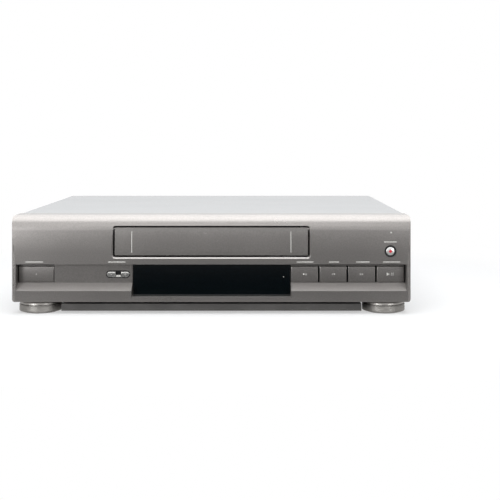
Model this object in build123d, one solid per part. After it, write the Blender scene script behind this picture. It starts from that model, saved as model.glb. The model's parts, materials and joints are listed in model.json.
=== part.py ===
from build123d import *
import math
import os

# Front-loading video cassette recorder, in millimetres.
# X runs across the front, Y from front to rear, Z up from the floor.
# "Depth" always means the distance behind the front plane.

# ---- Driving dimensions: outside ----
overall_width = 400.0
overall_depth = 308.0
overall_height = 99.0
foot_height = 12.5
panel_depth = 28.0
panel_wall = 2.5
panel_corner = 3.2
lip_height = 2.0
face_bow_height = 22.0
face_bow_radius = 230.0
face_bend_height = 13.0
face_bend_radius = 25.0
cover_sheet = 1.0
cover_inset = 2.0
cover_drop = 0.4
seam_gap = 0.3
tub_wall = 2.0
tub_side_height = 26.0
running_gap = 0.05
peg_sides = 8
boss_sides = 16
wheel_sides = 24

# ---- Driving dimensions: the cassette, its opening and the flap ----
cassette_width = 187.0
cassette_height = 25.0
slot_width = cassette_width + 10.2
slot_height = cassette_height + 6.5
slot_top_inset = 10.5
slot_corner = 2.5
lining_wall = 2.0
lining_depth = 14.0
flap_side_gap = 1.8
flap_edge_gap = 1.9
flap_thickness = 2.5
flap_setback = 2.0
flap_pin_radius = 1.5
flap_line_inset = 17.0

# ---- Driving dimensions: control band across the front ----
band_end_wall = 4.5
band_to_slot = 7.0
band_depth = 10.0
ledge_drop = 6.8
window_half_width = 80.0
window_sill = 4.3
window_thickness = 2.0
key_height = 15.7
key_gap = 0.65
key_proud = 0.5
key_travel = 0.8
key_headroom = 3.3
key_footroom = 0.7
transport_gap = 1.65
power_width = 35.2
channel_offset = 14.5
channel_length = 24.3
channel_height = 7.7
channel_key_length = 8.9
record_inset = 20.7
record_rise = 6.2
record_radius = 4.75
collar_radius = 6.0
light_inset = 20.0
light_rise = 24.9
light_radius = 0.85

# ---- Driving dimensions: feet and plinth ----
foot_radius = 21.7
foot_side_inset = 3.0
foot_front_inset = 2.3
pad_radius = 18.0
pad_height = 1.0
rear_foot_radius = 13.0
rear_foot_setback = 36.0
foot_bead = 0.8
foot_groove_level = 7.9
foot_groove_depth = 1.8
foot_shoulder_level = 11.2
foot_gap = 0.8
plinth_depth = 5.0
plinth_length = 40.0
plinth_bottom = 2.8
plinth_top = 9.8
plinth_wall = 2.0
plinth_rib_pitch = 36.0

# ---- Driving dimensions: tape deck, measured from a datum behind the front plane ----
deck_setback = 154.0
deck_front_reach = 118.0
deck_rear_reach = 92.0
deck_sheet = 1.5
cassette_ride = 10.1
frame_side_gap = 7.5
frame_sheet = 1.5
load_travel = 75.0
drop_travel = 22.0
holder_side_play = 1.6
holder_height_play = 0.6
holder_length = 48.0
holder_sheet = 1.2
holder_pin_radius = 2.5
holder_pin_height = 13.0
holder_pin_setbacks = (6.0, 42.0)
slot_clearance = 0.3
drum_radius = 31.0
drum_tilt = 5.0
drum_setback = 37.0
lower_drum_height = 14.0
upper_drum_height = 12.5
drum_shaft_radius = 3.0
reel_spacing = 92.0
reel_radius = 22.0
capstan_radius = 2.0
pinch_radius = 6.0
tooth_module = 0.8
cam_teeth = 48
pinion_teeth = 12
cam_stud_radius = 2.5

# ---- Driving dimensions: boards and sockets ----
board_thickness = 1.6
board_level = 20.0
board_edge_gap = 5.0
board_side_gap = 6.7
control_board_depth = 21.0
switch_height = 3.0
rear_panel_setback = 3.5
socket_level = 38.0
socket_proud = 2.3
tuner_width = 60.0
tuner_length = 50.0
tuner_recess = 11.0
aerial_pitch = 30.0
scart_x = (-72.0, -12.0)
inlet_inset = 44.7

# ---- Derived places: outside ----
front = -overall_depth / 2
rear = overall_depth / 2
half_width = overall_width / 2
panel_rear = front + panel_depth
cover_half = half_width - cover_inset
cover_inner = cover_half - cover_sheet
cover_top = overall_height - cover_drop
tub_top = foot_height + tub_wall
tub_half = cover_inner - seam_gap
panel_plate_y = rear - rear_panel_setback
foot_x = half_width - foot_radius - foot_side_inset
foot_depth = foot_radius + foot_front_inset
rear_foot_depth = overall_depth - rear_foot_setback

# ---- Derived places: front ----
slot_half = slot_width / 2
slot_top = overall_height - slot_top_inset
slot_bottom = slot_top - slot_height
slot_middle = (slot_bottom + slot_top) / 2
flap_half = slot_half - flap_side_gap
flap_bottom = slot_bottom + flap_edge_gap
flap_top = slot_top - flap_edge_gap
hinge_depth = flap_setback + 1.7
hinge_z = flap_top - 1.5
band_half_width = half_width - band_end_wall
band_top = slot_bottom - band_to_slot
key_top = band_top - key_headroom
key_bottom = key_top - key_height
key_middle = (key_bottom + key_top) / 2
key_front = band_depth - key_proud
key_back = band_depth + panel_wall + 1.1
stem_end = control_board_depth - switch_height - 1.8
ledge_back = key_bottom - key_footroom
ledge_front = ledge_back - ledge_drop
window_floor = foot_height + window_sill
transport_first = window_half_width + 0.3
transport_room = band_half_width - 1.45 - transport_first
transport_width = (transport_room - 3 * transport_gap) / 4
transport_pitch = transport_width + transport_gap
power_left = -band_half_width + 0.8
channel_centre = -window_half_width - channel_offset
record_x = half_width - record_inset
record_z = slot_bottom + record_rise
light_x = half_width - light_inset
light_z = slot_bottom + light_rise
bow_slope = math.asin(face_bow_height / face_bow_radius)
bow_back = face_bow_radius * (1 - math.cos(bow_slope))
bend_start = overall_height - lip_height - face_bend_height
bow_start = bend_start - face_bow_height

# ---- Derived places: deck ----
deck_datum = front + deck_setback
holder_rear = deck_datum - 2
holder_front = holder_rear - holder_length
holder_half = (cassette_width + holder_side_play) / 2
holder_bottom = slot_bottom + 1.1
holder_top = holder_bottom + cassette_height + holder_height_play
pin_level = holder_bottom + holder_pin_height
slot_pin_radius = holder_pin_radius + slot_clearance
deck_level = holder_bottom - drop_travel - cassette_ride
deck_top = deck_level + deck_sheet
frame_inner = holder_half + holder_sheet + frame_side_gap
carriage_inner = frame_inner + frame_sheet + seam_gap
deck_half_width = frame_inner + 10
deck_front = deck_datum - deck_front_reach
deck_rear = deck_datum + deck_rear_reach
drum_y = holder_rear + drum_setback
drum_level = deck_top + 5.5
reel_x = reel_spacing / 2
reel_y = deck_datum - 60
guide_start = (drum_radius + 2, deck_datum - 10)
guide_end = (drum_radius + 14, deck_datum + 48)
capstan_x = drum_radius + 27
capstan_y = deck_datum + 4
pinch_pivot = (capstan_x + 16, deck_datum + 8)
pinch_rest = (capstan_x + 12.65, deck_datum - 8.15)
tension_pivot = (-drum_radius - 45, deck_datum + 8)
tension_post = (-drum_radius - 31, deck_datum - 9)
idler_pivot = (0.0, deck_datum - 75)
idler_centre = (0.0, deck_datum - 48)
cam_x = -drum_radius - 49
cam_y = deck_datum + 62
cam_radius = tooth_module * cam_teeth / 2
pinion_radius = tooth_module * pinion_teeth / 2
gear_low = deck_top + 1.2
gear_distance = cam_radius + pinion_radius + 0.12
mesh_angle = 4.5 * 360 / cam_teeth
pinion_x = cam_x + gear_distance * math.cos(math.radians(mesh_angle))
pinion_y = cam_y + gear_distance * math.sin(math.radians(mesh_angle))
deck_post_x = (-deck_half_width + 6, deck_half_width - 6)
deck_post_y = (deck_front + 8, deck_rear - 8)

# ---- Derived places: boards, sockets and screws ----
board_top = board_level + board_thickness
board_left = -tub_half + board_side_gap
board_inner = -deck_half_width - board_edge_gap
board_rear = panel_plate_y - 1.5
rear_strip_front = deck_rear + 4
rear_strip_right = deck_half_width - 13
power_left_edge = deck_half_width + board_edge_gap
power_right_edge = tub_half - board_side_gap
power_front = front + 134
power_rear = rear - 14
aerial_middle = board_left + 41
aerial_x = (aerial_middle - aerial_pitch / 2, aerial_middle + aerial_pitch / 2)
tuner_face = rear - tuner_recess
inlet_x = tub_half - inlet_inset
socket_face = panel_plate_y + socket_proud
side_screw_z = foot_height + 11.5
side_screw_y = (front + 50, rear - 44)
rear_screw_x = (-half_width + 100, half_width - 90, half_width - 12)
rear_screw_z = (tub_top + board_level) / 2


# ---- Shape helpers ----
def block(x_low, x_high, y_low, y_high, z_low, z_high):
    corner = Pos(x_low, y_low, z_low)
    size = Box(x_high - x_low, y_high - y_low, z_high - z_low, align=(Align.MIN,) * 3)
    return corner * size


def bar(radius, length, sides=0):
    """A round bar along +Z from the origin, or a bar with that many flats."""
    section = RegularPolygon(radius, sides) if sides else Circle(radius)
    return extrude(section, amount=length)


def post(x, y, radius, z_low, z_high, sides=0):
    return Pos(x, y, z_low) * bar(radius, z_high - z_low, sides)


def rod_x(y, z, radius, x_low, x_high, sides=0):
    return Pos(x_low, y, z) * Rot(0, 90, 0) * bar(radius, x_high - x_low, sides)


def rod_y(x, z, radius, y_low, y_high, sides=0):
    return Pos(x, y_low, z) * Rot(-90, 0, 0) * bar(radius, y_high - y_low, sides)


def from_front(sketch, y_low, y_high):
    """Extrude a sketch drawn in X and Z from y_low back to y_high."""
    return extrude(Plane.XZ.offset(-y_low) * sketch, amount=-(y_high - y_low))


def from_side(sketch, x_low, x_high):
    """Extrude a sketch drawn in Y and Z from x_low across to x_high."""
    return extrude(Plane.YZ.offset(x_low) * sketch, amount=x_high - x_low)


def upright(sketch, z_low, z_high):
    return extrude(Plane.XY.offset(z_low) * sketch, amount=z_high - z_low)


def outline(*points):
    return make_face(Polyline(*points, close=True))


def behind(depth):
    return front + depth


def mirrored_pair(shape):
    return [shape, mirror(shape, about=Plane.YZ)]


def join(shapes):
    whole = shapes[0]
    for shape in shapes[1:]:
        whole = whole + shape
    return whole


def group(shapes):
    """Separate solids that share one node."""
    return Compound(children=[solid for shape in shapes for solid in shape.solids()])


def gear_outline(teeth, module, backlash=0.12):
    """Spur gear outline with straight-flanked teeth and a tooth centred on +X."""
    pitch_radius = module * teeth / 2
    tip, root = pitch_radius + 0.95 * module, pitch_radius - 1.2 * module
    pitch_half = math.pi / (2 * teeth) - backlash / pitch_radius
    root_half, tip_half = pitch_half * 1.55, pitch_half * 0.52
    points = []
    for tooth in range(teeth):
        centre = 2 * math.pi * tooth / teeth
        for radius, half in ((root, -root_half), (tip, -tip_half), (tip, tip_half), (root, root_half)):
            points.append((radius * math.cos(centre + half), radius * math.sin(centre + half)))
    return outline(*points)


def save(node, shape):
    export_step(shape, f"parts/{node}.step")


# ---- Front panel ----
def face_arc(depth, level, radius, low, high):
    """One arc of the face's side view, which leans back from one slope to another as it rises."""
    def at(slope):
        return (behind(depth + radius * (math.cos(low) - math.cos(slope))),
                level + radius * (math.sin(slope) - math.sin(low)))
    return ThreePointArc(at(low), at((low + high) / 2), at(high))


def panel_blank():
    """Outer form: a face that bows back gently, then bends to its lip, with rounded corners all round."""
    lip_slope = math.asin(math.sin(bow_slope) + face_bend_height / face_bend_radius)
    lip_back = bow_back + face_bend_radius * (math.cos(bow_slope) - math.cos(lip_slope))
    side = make_face(
        Line((behind(0), foot_height), (behind(0), bow_start))
        + face_arc(0, bow_start, face_bow_radius, 0, bow_slope)
        + face_arc(bow_back, bend_start, face_bend_radius, bow_slope, lip_slope)
        + Polyline(
            (behind(lip_back), overall_height - lip_height),
            (behind(lip_back + 2.2), overall_height),
            (panel_rear, overall_height),
            (panel_rear, foot_height),
            (behind(0), foot_height),
        )
    )
    middle_z = (foot_height + overall_height) / 2
    face = Pos(0, middle_z) * RectangleRounded(overall_width, overall_height - foot_height, panel_corner)
    plan = Pos(0, behind(panel_depth)) * RectangleRounded(overall_width, 2 * panel_depth, panel_corner)
    blank = from_side(side, -half_width, half_width)
    blank = blank & from_front(face, front, panel_rear)
    return blank & upright(plan, foot_height, overall_height)


def panel_cavity(front_edge):
    """Side view of the hollow behind the face, from the given lower front edge round to the back."""
    return outline(
        *front_edge,
        (behind(panel_wall), band_top + panel_wall),
        (behind(panel_wall), bow_start),
        (behind(panel_wall + bow_back), bend_start),
        (behind(panel_wall + 5.5), overall_height - panel_wall),
        (panel_rear + 1, overall_height - panel_wall),
        (panel_rear + 1, foot_height + panel_wall),
    )


def key_cavity():
    """The hollow behind a row of keys: it follows the ledge below them and the band's wall."""
    wall = behind(band_depth + panel_wall)
    return panel_cavity([
        (behind(panel_wall), foot_height + panel_wall), (behind(panel_wall), ledge_front - 1.9),
        (wall, ledge_back - 1.9), (wall, band_top + panel_wall),
    ])


def window_cavity():
    wall = behind(band_depth + window_thickness + panel_wall)
    return panel_cavity([(wall, foot_height + panel_wall), (wall, band_top + panel_wall)])


def board_boss_places():
    left = [(power_left + power_width + 7, key_top - 3.7), (channel_centre - 20.5, key_top - 3.7)]
    gaps = [transport_first + n * transport_pitch - transport_gap / 2 for n in (1, 2, 3)]
    return left + [(x, band_top + 0.3) for x in (-60.0, 60.0, *gaps)]


def make_front_panel():
    blank = panel_blank()
    panel = blank
    inner = half_width - panel_wall
    step = window_half_width + panel_wall
    for x_low, x_high in ((-inner, -step), (step, inner)):
        panel -= from_side(key_cavity(), x_low, x_high)
    panel -= from_side(window_cavity(), -step, step)

    band = outline(
        (behind(-1), ledge_front - (ledge_back - ledge_front) / band_depth),
        (behind(band_depth), ledge_back),
        (behind(band_depth), band_top),
        (behind(-1), band_top),
    )
    panel -= from_side(band, -band_half_width, band_half_width)
    window_back = behind(band_depth + window_thickness)
    panel -= block(-window_half_width, window_half_width, front - 1, window_back, window_floor, band_top)
    view = window_half_width - 10
    panel -= block(-view, view, window_back - 1, window_back + panel_wall + 1, window_floor + 5.2,
                   band_top - 4)

    opening = Pos(0, slot_middle) * RectangleRounded(slot_width, slot_height, slot_corner)
    lining = Pos(0, slot_middle) * Rectangle(slot_width + 2 * lining_wall, slot_height + 2 * lining_wall)
    panel += from_front(lining, behind(1.2), behind(lining_depth)) & blank
    panel -= from_front(opening, front - 1, behind(lining_depth + 1))
    bevel_start = Pos(0, slot_middle) * RectangleRounded(
        slot_width + 2.4, slot_height + 2.4, slot_corner + 1.2)
    panel -= extrude(Plane.XZ.offset(-front) * bevel_start, amount=-1.2, taper=45)
    for side in (-1, 1):
        outer_x = side * (slot_half + lining_wall + 1)
        inner_x = side * (slot_half - 1)
        bore_radius = flap_pin_radius + running_gap
        bore = sorted((inner_x, outer_x))
        panel -= rod_x(behind(hinge_depth), hinge_z, bore_radius, *bore)

    key_hole_top = key_top + key_gap
    key_hole_bottom = key_bottom - key_footroom + 0.2
    wall_back = behind(band_depth + panel_wall + 1)
    panel -= block(
        window_half_width - 0.1, step + 1, behind(band_depth + panel_wall), behind(control_board_depth - 5),
        key_bottom - 1.8, key_top + 2,
    )
    transport_right = transport_first + 3 * transport_pitch + transport_width + key_gap
    power_right = power_left + power_width + key_gap
    for left, right in ((window_half_width - 0.1, transport_right), (power_left - key_gap, power_right)):
        panel -= block(left, right, behind(band_depth - 1), wall_back, key_hole_bottom, key_hole_top)
    recess = Pos(channel_centre, key_middle) * SlotOverall(channel_length, channel_height)
    panel -= from_front(recess, behind(band_depth - 1), behind(band_depth + 1.3))
    for sketch in channel_key_outline(0.25):
        panel -= from_front(sketch, behind(band_depth), wall_back)

    panel -= rod_y(record_x, record_z, collar_radius + 0.05, front - 1, behind(panel_wall + 1))
    panel -= rod_y(light_x, light_z, light_radius + 0.05, front - 1, behind(panel_wall + 1))

    for x, z in board_boss_places():
        wall = band_depth + 1.5
        start = wall + (window_thickness if abs(x) < window_half_width else 0)
        panel += rod_y(x, z, 2.0, behind(start), behind(control_board_depth), peg_sides)
    board_face = behind(control_board_depth)
    return panel + rod_y(record_x - 14, record_z + 11, 2.0, behind(panel_wall - 0.5), board_face, peg_sides)


def channel_key_outline(grow):
    """The two half-pill channel keys, grown all round by a clearance."""
    length = channel_length - 1.1
    height = channel_height - 1.1
    pill = SlotOverall(length + 2 * grow, height + 2 * grow)
    keep = channel_key_length + grow
    reach = length / 2 + grow
    left = pill & (Pos(-reach + keep / 2, 0) * Rectangle(keep, channel_height))
    right = pill & (Pos(reach - keep / 2, 0) * Rectangle(keep, channel_height))
    return [Pos(channel_centre, key_middle) * left, Pos(channel_centre, key_middle) * right]


def make_display_window():
    edge = seam_gap + 0.3
    return block(
        -window_half_width + edge, window_half_width - edge,
        behind(band_depth), behind(band_depth + window_thickness),
        window_floor, band_top - seam_gap,
    )


def make_record_collar():
    ring = rod_y(record_x, record_z, collar_radius, behind(0.5), behind(9))
    return ring - rod_y(record_x, record_z, record_radius + 0.1, front, behind(10))


def make_indicator_light():
    face_back = face_bow_radius - math.sqrt(face_bow_radius ** 2 - max(light_z - bow_start, 0) ** 2)
    return rod_y(light_x, light_z, light_radius, behind(face_back + 0.1), behind(control_board_depth))


# ---- Flap ----
def make_cassette_flap():
    middle = (flap_bottom + flap_top) / 2
    leaf = Pos(0, middle) * RectangleRounded(2 * flap_half, flap_top - flap_bottom, 1.2)
    flap = from_front(leaf, behind(flap_setback), behind(flap_setback + flap_thickness))
    for x in (-flap_half + flap_line_inset, flap_half - flap_line_inset):
        groove_back = behind(flap_setback + 0.35)
        flap -= block(x - 0.35, x + 0.35, behind(flap_setback - 1), groove_back, flap_bottom + 2.6,
                      flap_top - 3.7)
    flap += rod_x(behind(hinge_depth), hinge_z, 1.7, -flap_half, flap_half)
    pin_end = slot_half + lining_wall - 0.1
    return flap + rod_x(behind(hinge_depth), hinge_z, flap_pin_radius, -pin_end, pin_end)


def make_flap_spring():
    """Torsion spring on the left pin: a close coil, one leg on the cheek and one behind the leaf."""
    wire = 0.5
    inner = flap_pin_radius + 0.2
    coil_left, coil_right = -slot_half + 0.5, -flap_half - 0.3
    axis_y = behind(hinge_depth)
    coil = rod_x(axis_y, hinge_z, inner + wire, coil_left, coil_right)
    coil -= rod_x(axis_y, hinge_z, inner, coil_left - 1, coil_right + 1)
    back = axis_y + inner
    leg_z = hinge_z + inner - 0.4
    fixed_leg = block(coil_left, coil_left + wire, axis_y + 1.2, axis_y + 9, leg_z, leg_z + wire)
    drop_leg = block(coil_right - wire, coil_right, back, back + wire, hinge_z - 8, hinge_z)
    hook = block(coil_right - wire, coil_right + 3, back, back + wire, hinge_z - 8, hinge_z - 8 + wire)
    return coil + fixed_leg + drop_leg + hook


# ---- Keys ----
def make_key(x_left, width):
    """A hollow key cap with a stop flange above and below, and a stem to its switch."""
    cap = block(x_left, x_left + width, behind(key_front), behind(key_back), key_bottom, key_top)
    cap = chamfer(cap.faces().sort_by(Axis.Y)[0].edges(), 0.4)
    hollow = block(
        x_left + 1.5, x_left + width - 1.5, behind(key_front + 1.6), behind(15),
        key_bottom + 1.5, key_top - 1.5
    )
    flange = block(
        x_left, x_left + width, behind(key_back - 0.7), behind(key_back + 0.3),
        key_bottom - 1.3, key_top + 1.5
    )
    stem = rod_y(x_left + width / 2, key_middle, 2.0, behind(key_front + 1), behind(stem_end), peg_sides)
    return cap + flange - hollow + stem


def make_channel_keys():
    keys = []
    for sketch in channel_key_outline(0.0):
        cap = from_front(sketch, behind(band_depth - 0.2), behind(14))
        cap = chamfer(cap.faces().sort_by(Axis.Y)[0].edges(), 0.5)
        centre = cap.center()
        flange = from_front(
            Pos(centre.X, key_middle) * Rectangle(channel_key_length - 1, channel_height + 3),
            behind(13), behind(14)
        )
        stem = rod_y(centre.X, key_middle, 1.6, behind(13.5), behind(stem_end), peg_sides)
        keys.append(cap + flange + stem)
    return keys


def make_record_button():
    dome_radius = 14.0
    edge_depth = 1.0
    rise = dome_radius - math.sqrt(dome_radius**2 - record_radius**2)
    centre = Pos(record_x, behind(edge_depth - rise + dome_radius), record_z)
    button = rod_y(record_x, record_z, record_radius, front - 1, behind(12)) & (centre * Sphere(dome_radius))
    button += rod_y(record_x, record_z, record_radius, behind(edge_depth + 0.4), behind(12))
    return button + rod_y(record_x, record_z, 2.0, behind(11), behind(stem_end), peg_sides)


# ---- Case ----
def make_bottom_tub():
    tub = block(-tub_half, tub_half, panel_rear, panel_plate_y - seam_gap, foot_height, tub_top)
    for side in (-1, 1):
        edge = side * tub_half
        wall = side * (tub_half - tub_wall)
        low, high = min(edge, wall), max(edge, wall)
        tub += block(low, high, panel_rear, panel_plate_y - seam_gap, tub_top - 1,
                     foot_height + tub_side_height)
    for x in deck_post_x:
        for y in deck_post_y:
            tub += post(x, y, 4.5, tub_top - 0.5, deck_level, peg_sides)
            tub -= post(x, y, 1.7, tub_top + 2, deck_level + 1, peg_sides)
    for x, y in board_posts():
        tub += block(x - 3, x + 3, y - 0.8, y + 0.8, tub_top - 0.5, board_level)
        tub += block(x - 0.8, x + 0.8, y - 3, y + 3, tub_top - 0.5, board_level)
    for x in rear_screw_x:
        boss = block(x - 5, x + 5, panel_plate_y - 10, panel_plate_y - seam_gap, tub_top - 0.5,
                     board_level - 0.2)
        tub += boss - rod_y(x, rear_screw_z, 1.7, panel_plate_y - 9.5, panel_plate_y, peg_sides)
    for row in range(9):
        y = deck_datum - 66 + row * 16.0
        tub -= block(-50, 50, y, y + 4, foot_height - 1, tub_top + 1)
    for y in side_screw_y:
        tub -= rod_x(y, side_screw_z, 1.7, -half_width, half_width, peg_sides)
    for y in (deck_datum - 90, deck_datum + 84):
        tub += block(-tub_half + 1, tub_half - 1, y - 1, y + 1, tub_top - 0.5, tub_top + 2.5)
    return tub


def board_posts():
    """Places of the posts under the corners of the main board and the power board."""
    column = [(board_left + 6, deck_front + 6), (board_inner - 6, deck_front + 6),
              (board_left + 6, deck_datum + 60)]
    strip = [(board_left + 6, board_rear - 7), (rear_strip_right - 6, rear_strip_front + 4),
             (rear_strip_right - 6, board_rear - 17)]
    power = [(x, y) for x in (power_left_edge + 6, power_right_edge - 6)
             for y in (power_front + 6, power_rear - 6)]
    return column + strip + power


def make_top_cover():
    height = cover_top - foot_height - 0.8
    outer = RectangleRounded(2 * cover_half, 2 * height, 2.5)
    inner = RectangleRounded(2 * cover_inner, 2 * (height - cover_sheet), 1.5)
    section = (outer - inner) & (Pos(0, height) * Rectangle(3 * cover_half, 2 * height))
    base = cover_top - height
    cover = from_front(Pos(0, base) * section, panel_rear + seam_gap, rear)
    for slot in range(11):
        y = rear - 110 + slot * 9.0
        cover -= block(-half_width, half_width, y, y + 3, cover_top - 40, cover_top - 15)
    for y in side_screw_y:
        cover -= rod_x(y, side_screw_z, 1.8, -half_width, half_width, peg_sides)
    return cover


def make_cover_screws():
    screws = []
    for y in side_screw_y:
        head = rod_x(y, side_screw_z, 3.4, cover_half, cover_half + 1.4, boss_sides)
        shank = rod_x(y, side_screw_z, 1.5, cover_half - 8, cover_half + 0.5, peg_sides)
        screws += mirrored_pair(head + shank)
    plate_back = panel_plate_y + cover_sheet
    for x in rear_screw_x:
        head = rod_y(x, rear_screw_z, 3.4, plate_back, plate_back + 1.4, boss_sides)
        screws.append(head + rod_y(x, rear_screw_z, 1.5, plate_back - 9, plate_back + 0.5, peg_sides))
    return group(screws)


def scart_profile(width, height, cut):
    """Rounded oblong with one slanted end, as the 21-way socket has."""
    half, top = width / 2, height / 2
    return outline((-half, -top), (half, -top), (half, top - cut), (half - cut * 0.8, top), (-half, top))


def make_rear_panel():
    low, high = foot_height + 0.8, cover_top - cover_sheet - seam_gap
    sheet = Pos(0, (low + high) / 2) * RectangleRounded(2 * (cover_inner - seam_gap), high - low, 2.0)
    plate = from_front(sheet, panel_plate_y, panel_plate_y + cover_sheet)
    left, right = aerial_middle - tuner_width / 2 + 2, aerial_middle + tuner_width / 2 - 2
    low, high = socket_level - 13, socket_level + 13
    plate += block(left, right, tuner_face + seam_gap, panel_plate_y + 0.5, low, high)
    plate -= block(left + 1, right - 1, tuner_face - 1, rear, low + 1, high - 1)
    for x in scart_x:
        hole = Pos(x, socket_level) * scart_profile(47.2, 15.2, 5)
        plate -= from_front(hole, panel_plate_y - 1, rear)
    plate -= from_front(Pos(inlet_x, socket_level) * Rectangle(26.6, 18.6), panel_plate_y - 1, rear)
    for column in range(9):
        x = inlet_x - 86 + column * 9.0
        plate -= block(x, x + 3.5, panel_plate_y - 1, rear, cover_top - 36.6, cover_top - 12.6)
    for x in rear_screw_x:
        plate -= rod_y(x, rear_screw_z, 1.8, panel_plate_y - 1, rear, peg_sides)
    return plate


def make_plinth():
    """Hollow ribbed strip under the front panel, between the feet."""
    back = behind(plinth_depth + plinth_length)
    end = foot_x - foot_radius - foot_gap
    inner = end - plinth_wall
    shell = block(-end, end, behind(plinth_depth), back, plinth_bottom, plinth_top)
    shell += block(-inner, inner, panel_rear + seam_gap, back, plinth_top - 1, foot_height)
    shell -= block(-inner, inner, behind(plinth_depth + plinth_wall), back - plinth_wall,
                   plinth_bottom - 1, plinth_top - plinth_wall)
    for column in range(-3, 4):
        x = column * plinth_rib_pitch
        shell += block(x - 1, x + 1, behind(plinth_depth + 1), back - 1, plinth_bottom + 0.5, plinth_top - 1)
    return shell


def make_front_feet():
    """Turned discs: a beaded base and drum, a groove, and a domed shoulder above it."""
    r = foot_radius
    groove = foot_groove_level
    profile = outline(
        (0, pad_height), (r - foot_bead, pad_height), (r, pad_height + foot_bead), (r, groove),
        (r - foot_groove_depth, groove + 0.3), (r - 0.6, groove + 1), (r - 2, foot_shoulder_level),
        (r - 5.2, foot_height), (0, foot_height),
    )
    foot = revolve(Plane.XZ * profile, Axis.Z)
    return group([Pos(x, behind(foot_depth), 0) * foot for x in (-foot_x, foot_x)])


def make_rear_feet():
    r = rear_foot_radius
    profile = outline((0, pad_height), (r, pad_height), (r - 2.5, foot_height), (0, foot_height))
    foot = revolve(Plane.XZ * profile, Axis.Z)
    return group([Pos(x, behind(rear_foot_depth), 0) * foot for x in (-foot_x, foot_x)])


def make_foot_pads():
    small = rear_foot_radius - 2
    return group([post(x, behind(depth), radius, 0, pad_height, wheel_sides)
                  for depth, radius in ((foot_depth, pad_radius), (rear_foot_depth, small))
                  for x in (-foot_x, foot_x)])


# ---- Sockets and boards ----
def make_scart_sockets():
    sockets = []
    for x in scart_x:
        place = Pos(x, socket_level)
        body = from_front(place * scart_profile(46.6, 14.6, 5), panel_plate_y - 22, socket_face)
        groove = from_front(place * scart_profile(44.6, 12.6, 4.5), socket_face - 8, rear)
        tongue = from_front(place * scart_profile(42.2, 10.2, 3.6), socket_face - 9, socket_face - 0.6)
        body = body - (groove - tongue)
        for row, z in enumerate((socket_level - 2.6, socket_level + 2.6)):
            for pin in range(10):
                pin_x = x - 17.5 + pin * 3.81 + row * 1.9 - 1.0
                body -= block(pin_x - 0.6, pin_x + 0.6, socket_face - 5, rear, z - 1.6, z + 1.6)
        legs = block(x - 21, x + 21, panel_plate_y - 21, board_rear - 1.5, board_top, socket_level - 6)
        sockets.append(body + legs)
    return group(sockets)


def make_aerial_sockets():
    """The plug-shaped outlet with its centre pin, and the aerial jack with a hollow centre contact."""
    base_back = tuner_face + 1.5
    plug = rod_y(aerial_x[0], socket_level, 4.75, tuner_face, rear - 1.5)
    plug -= rod_y(aerial_x[0], socket_level, 4.1, base_back, rear)
    plug += rod_y(aerial_x[0], socket_level, 1.15, tuner_face + 1, rear - 2, peg_sides)
    jack = rod_y(aerial_x[1], socket_level, 5.7, tuner_face, rear - 1.5)
    jack -= rod_y(aerial_x[1], socket_level, 4.8, base_back, rear)
    jack += rod_y(aerial_x[1], socket_level, 1.9, tuner_face + 1, rear - 3, boss_sides)
    jack -= rod_y(aerial_x[1], socket_level, 1.2, base_back + 1, rear, peg_sides)
    return group([plug, jack])


def make_mains_inlet():
    body = block(inlet_x - 13, inlet_x + 13, panel_plate_y - 22, socket_face,
                 socket_level - 9, socket_level + 9)
    cavity = Pos(inlet_x, socket_level) * (
        Pos(-4.3, 0) * Circle(4.4) + Pos(4.3, 0) * Circle(4.4) + Rectangle(8.6, 8.4)
    )
    body -= from_front(cavity, socket_face - 12, rear)
    for side in (-1, 1):
        body += rod_y(inlet_x + side * 4.3, socket_level, 1.2, socket_face - 13, socket_face - 2)
    return body + block(inlet_x - 11, inlet_x + 11, panel_plate_y - 21, power_rear, board_top,
                        socket_level - 8)


def make_tuner_box():
    """Screened box on four tabs, with a ridge where its lid folds over."""
    left, right = aerial_middle - tuner_width / 2, aerial_middle + tuner_width / 2
    box = block(left, right, tuner_face - tuner_length, tuner_face, socket_level - 13, socket_level + 14)
    box += block(left - 0.6, right + 0.6, tuner_face - tuner_length - 0.6, tuner_face - 1, socket_level + 9,
                 socket_level + 11)
    for x in (left + 3, right - 3):
        for y in (tuner_face - tuner_length + 2, tuner_face - 3):
            box += block(x - 1.5, x + 1.5, y - 0.5, y + 0.5, board_top, socket_level - 12)
    return box


def make_main_board():
    board = block(board_left, board_inner, deck_front, board_rear, board_level, board_top)
    return board + block(board_inner - 1, rear_strip_right, rear_strip_front, board_rear,
                         board_level, board_top)


def make_board_parts():
    """Chips, filter capacitors and screened blocks, each standing on the main board."""
    parts = []
    for row in range(3):
        x, y = board_left + 14, deck_front + 22 + row * 46.0
        parts.append(block(x, x + 34, y, y + 12, board_top, board_top + 4))
        parts.append(post(board_inner - 14, y + 6, 5, board_top, board_top + 14, boss_sides))
    x, y = board_left + 18, deck_datum + 30
    parts.append(block(x, x + 36, y, y + 32, board_top, board_top + 18))
    parts.append(block(30, 82, rear_strip_front + 8, rear_strip_front + 28, board_top, board_top + 12))
    parts.append(post(-40, rear_strip_front + 12, 6, board_top, board_top + 20, boss_sides))
    return group(parts)


def make_power_board():
    return block(power_left_edge, power_right_edge, power_front, power_rear, board_level, board_top)


def make_transformer():
    """Laminated core with its winding bobbin."""
    x, y = power_left_edge + 14, power_front + 10
    core = block(x, x + 44, y, y + 40, board_top, board_top + 32)
    bobbin = block(x + 6, x + 38, y - 5, y + 45, board_top + 6, board_top + 26)
    return chamfer(bobbin.edges().filter_by(Axis.Z), 3) + core


def make_heat_sink():
    """Extruded comb of fins on a common back."""
    width, fins = 44.0, 9
    comb = Pos(0, 0) * Rectangle(width, 3)
    for fin in range(fins):
        comb += Pos(-width / 2 + 1 + fin * (width - 2) / (fins - 1), 6) * Rectangle(1.6, 13)
    return upright(Pos(power_left_edge + 36, power_front + 70) * comb, board_top, board_top + 40)


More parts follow.
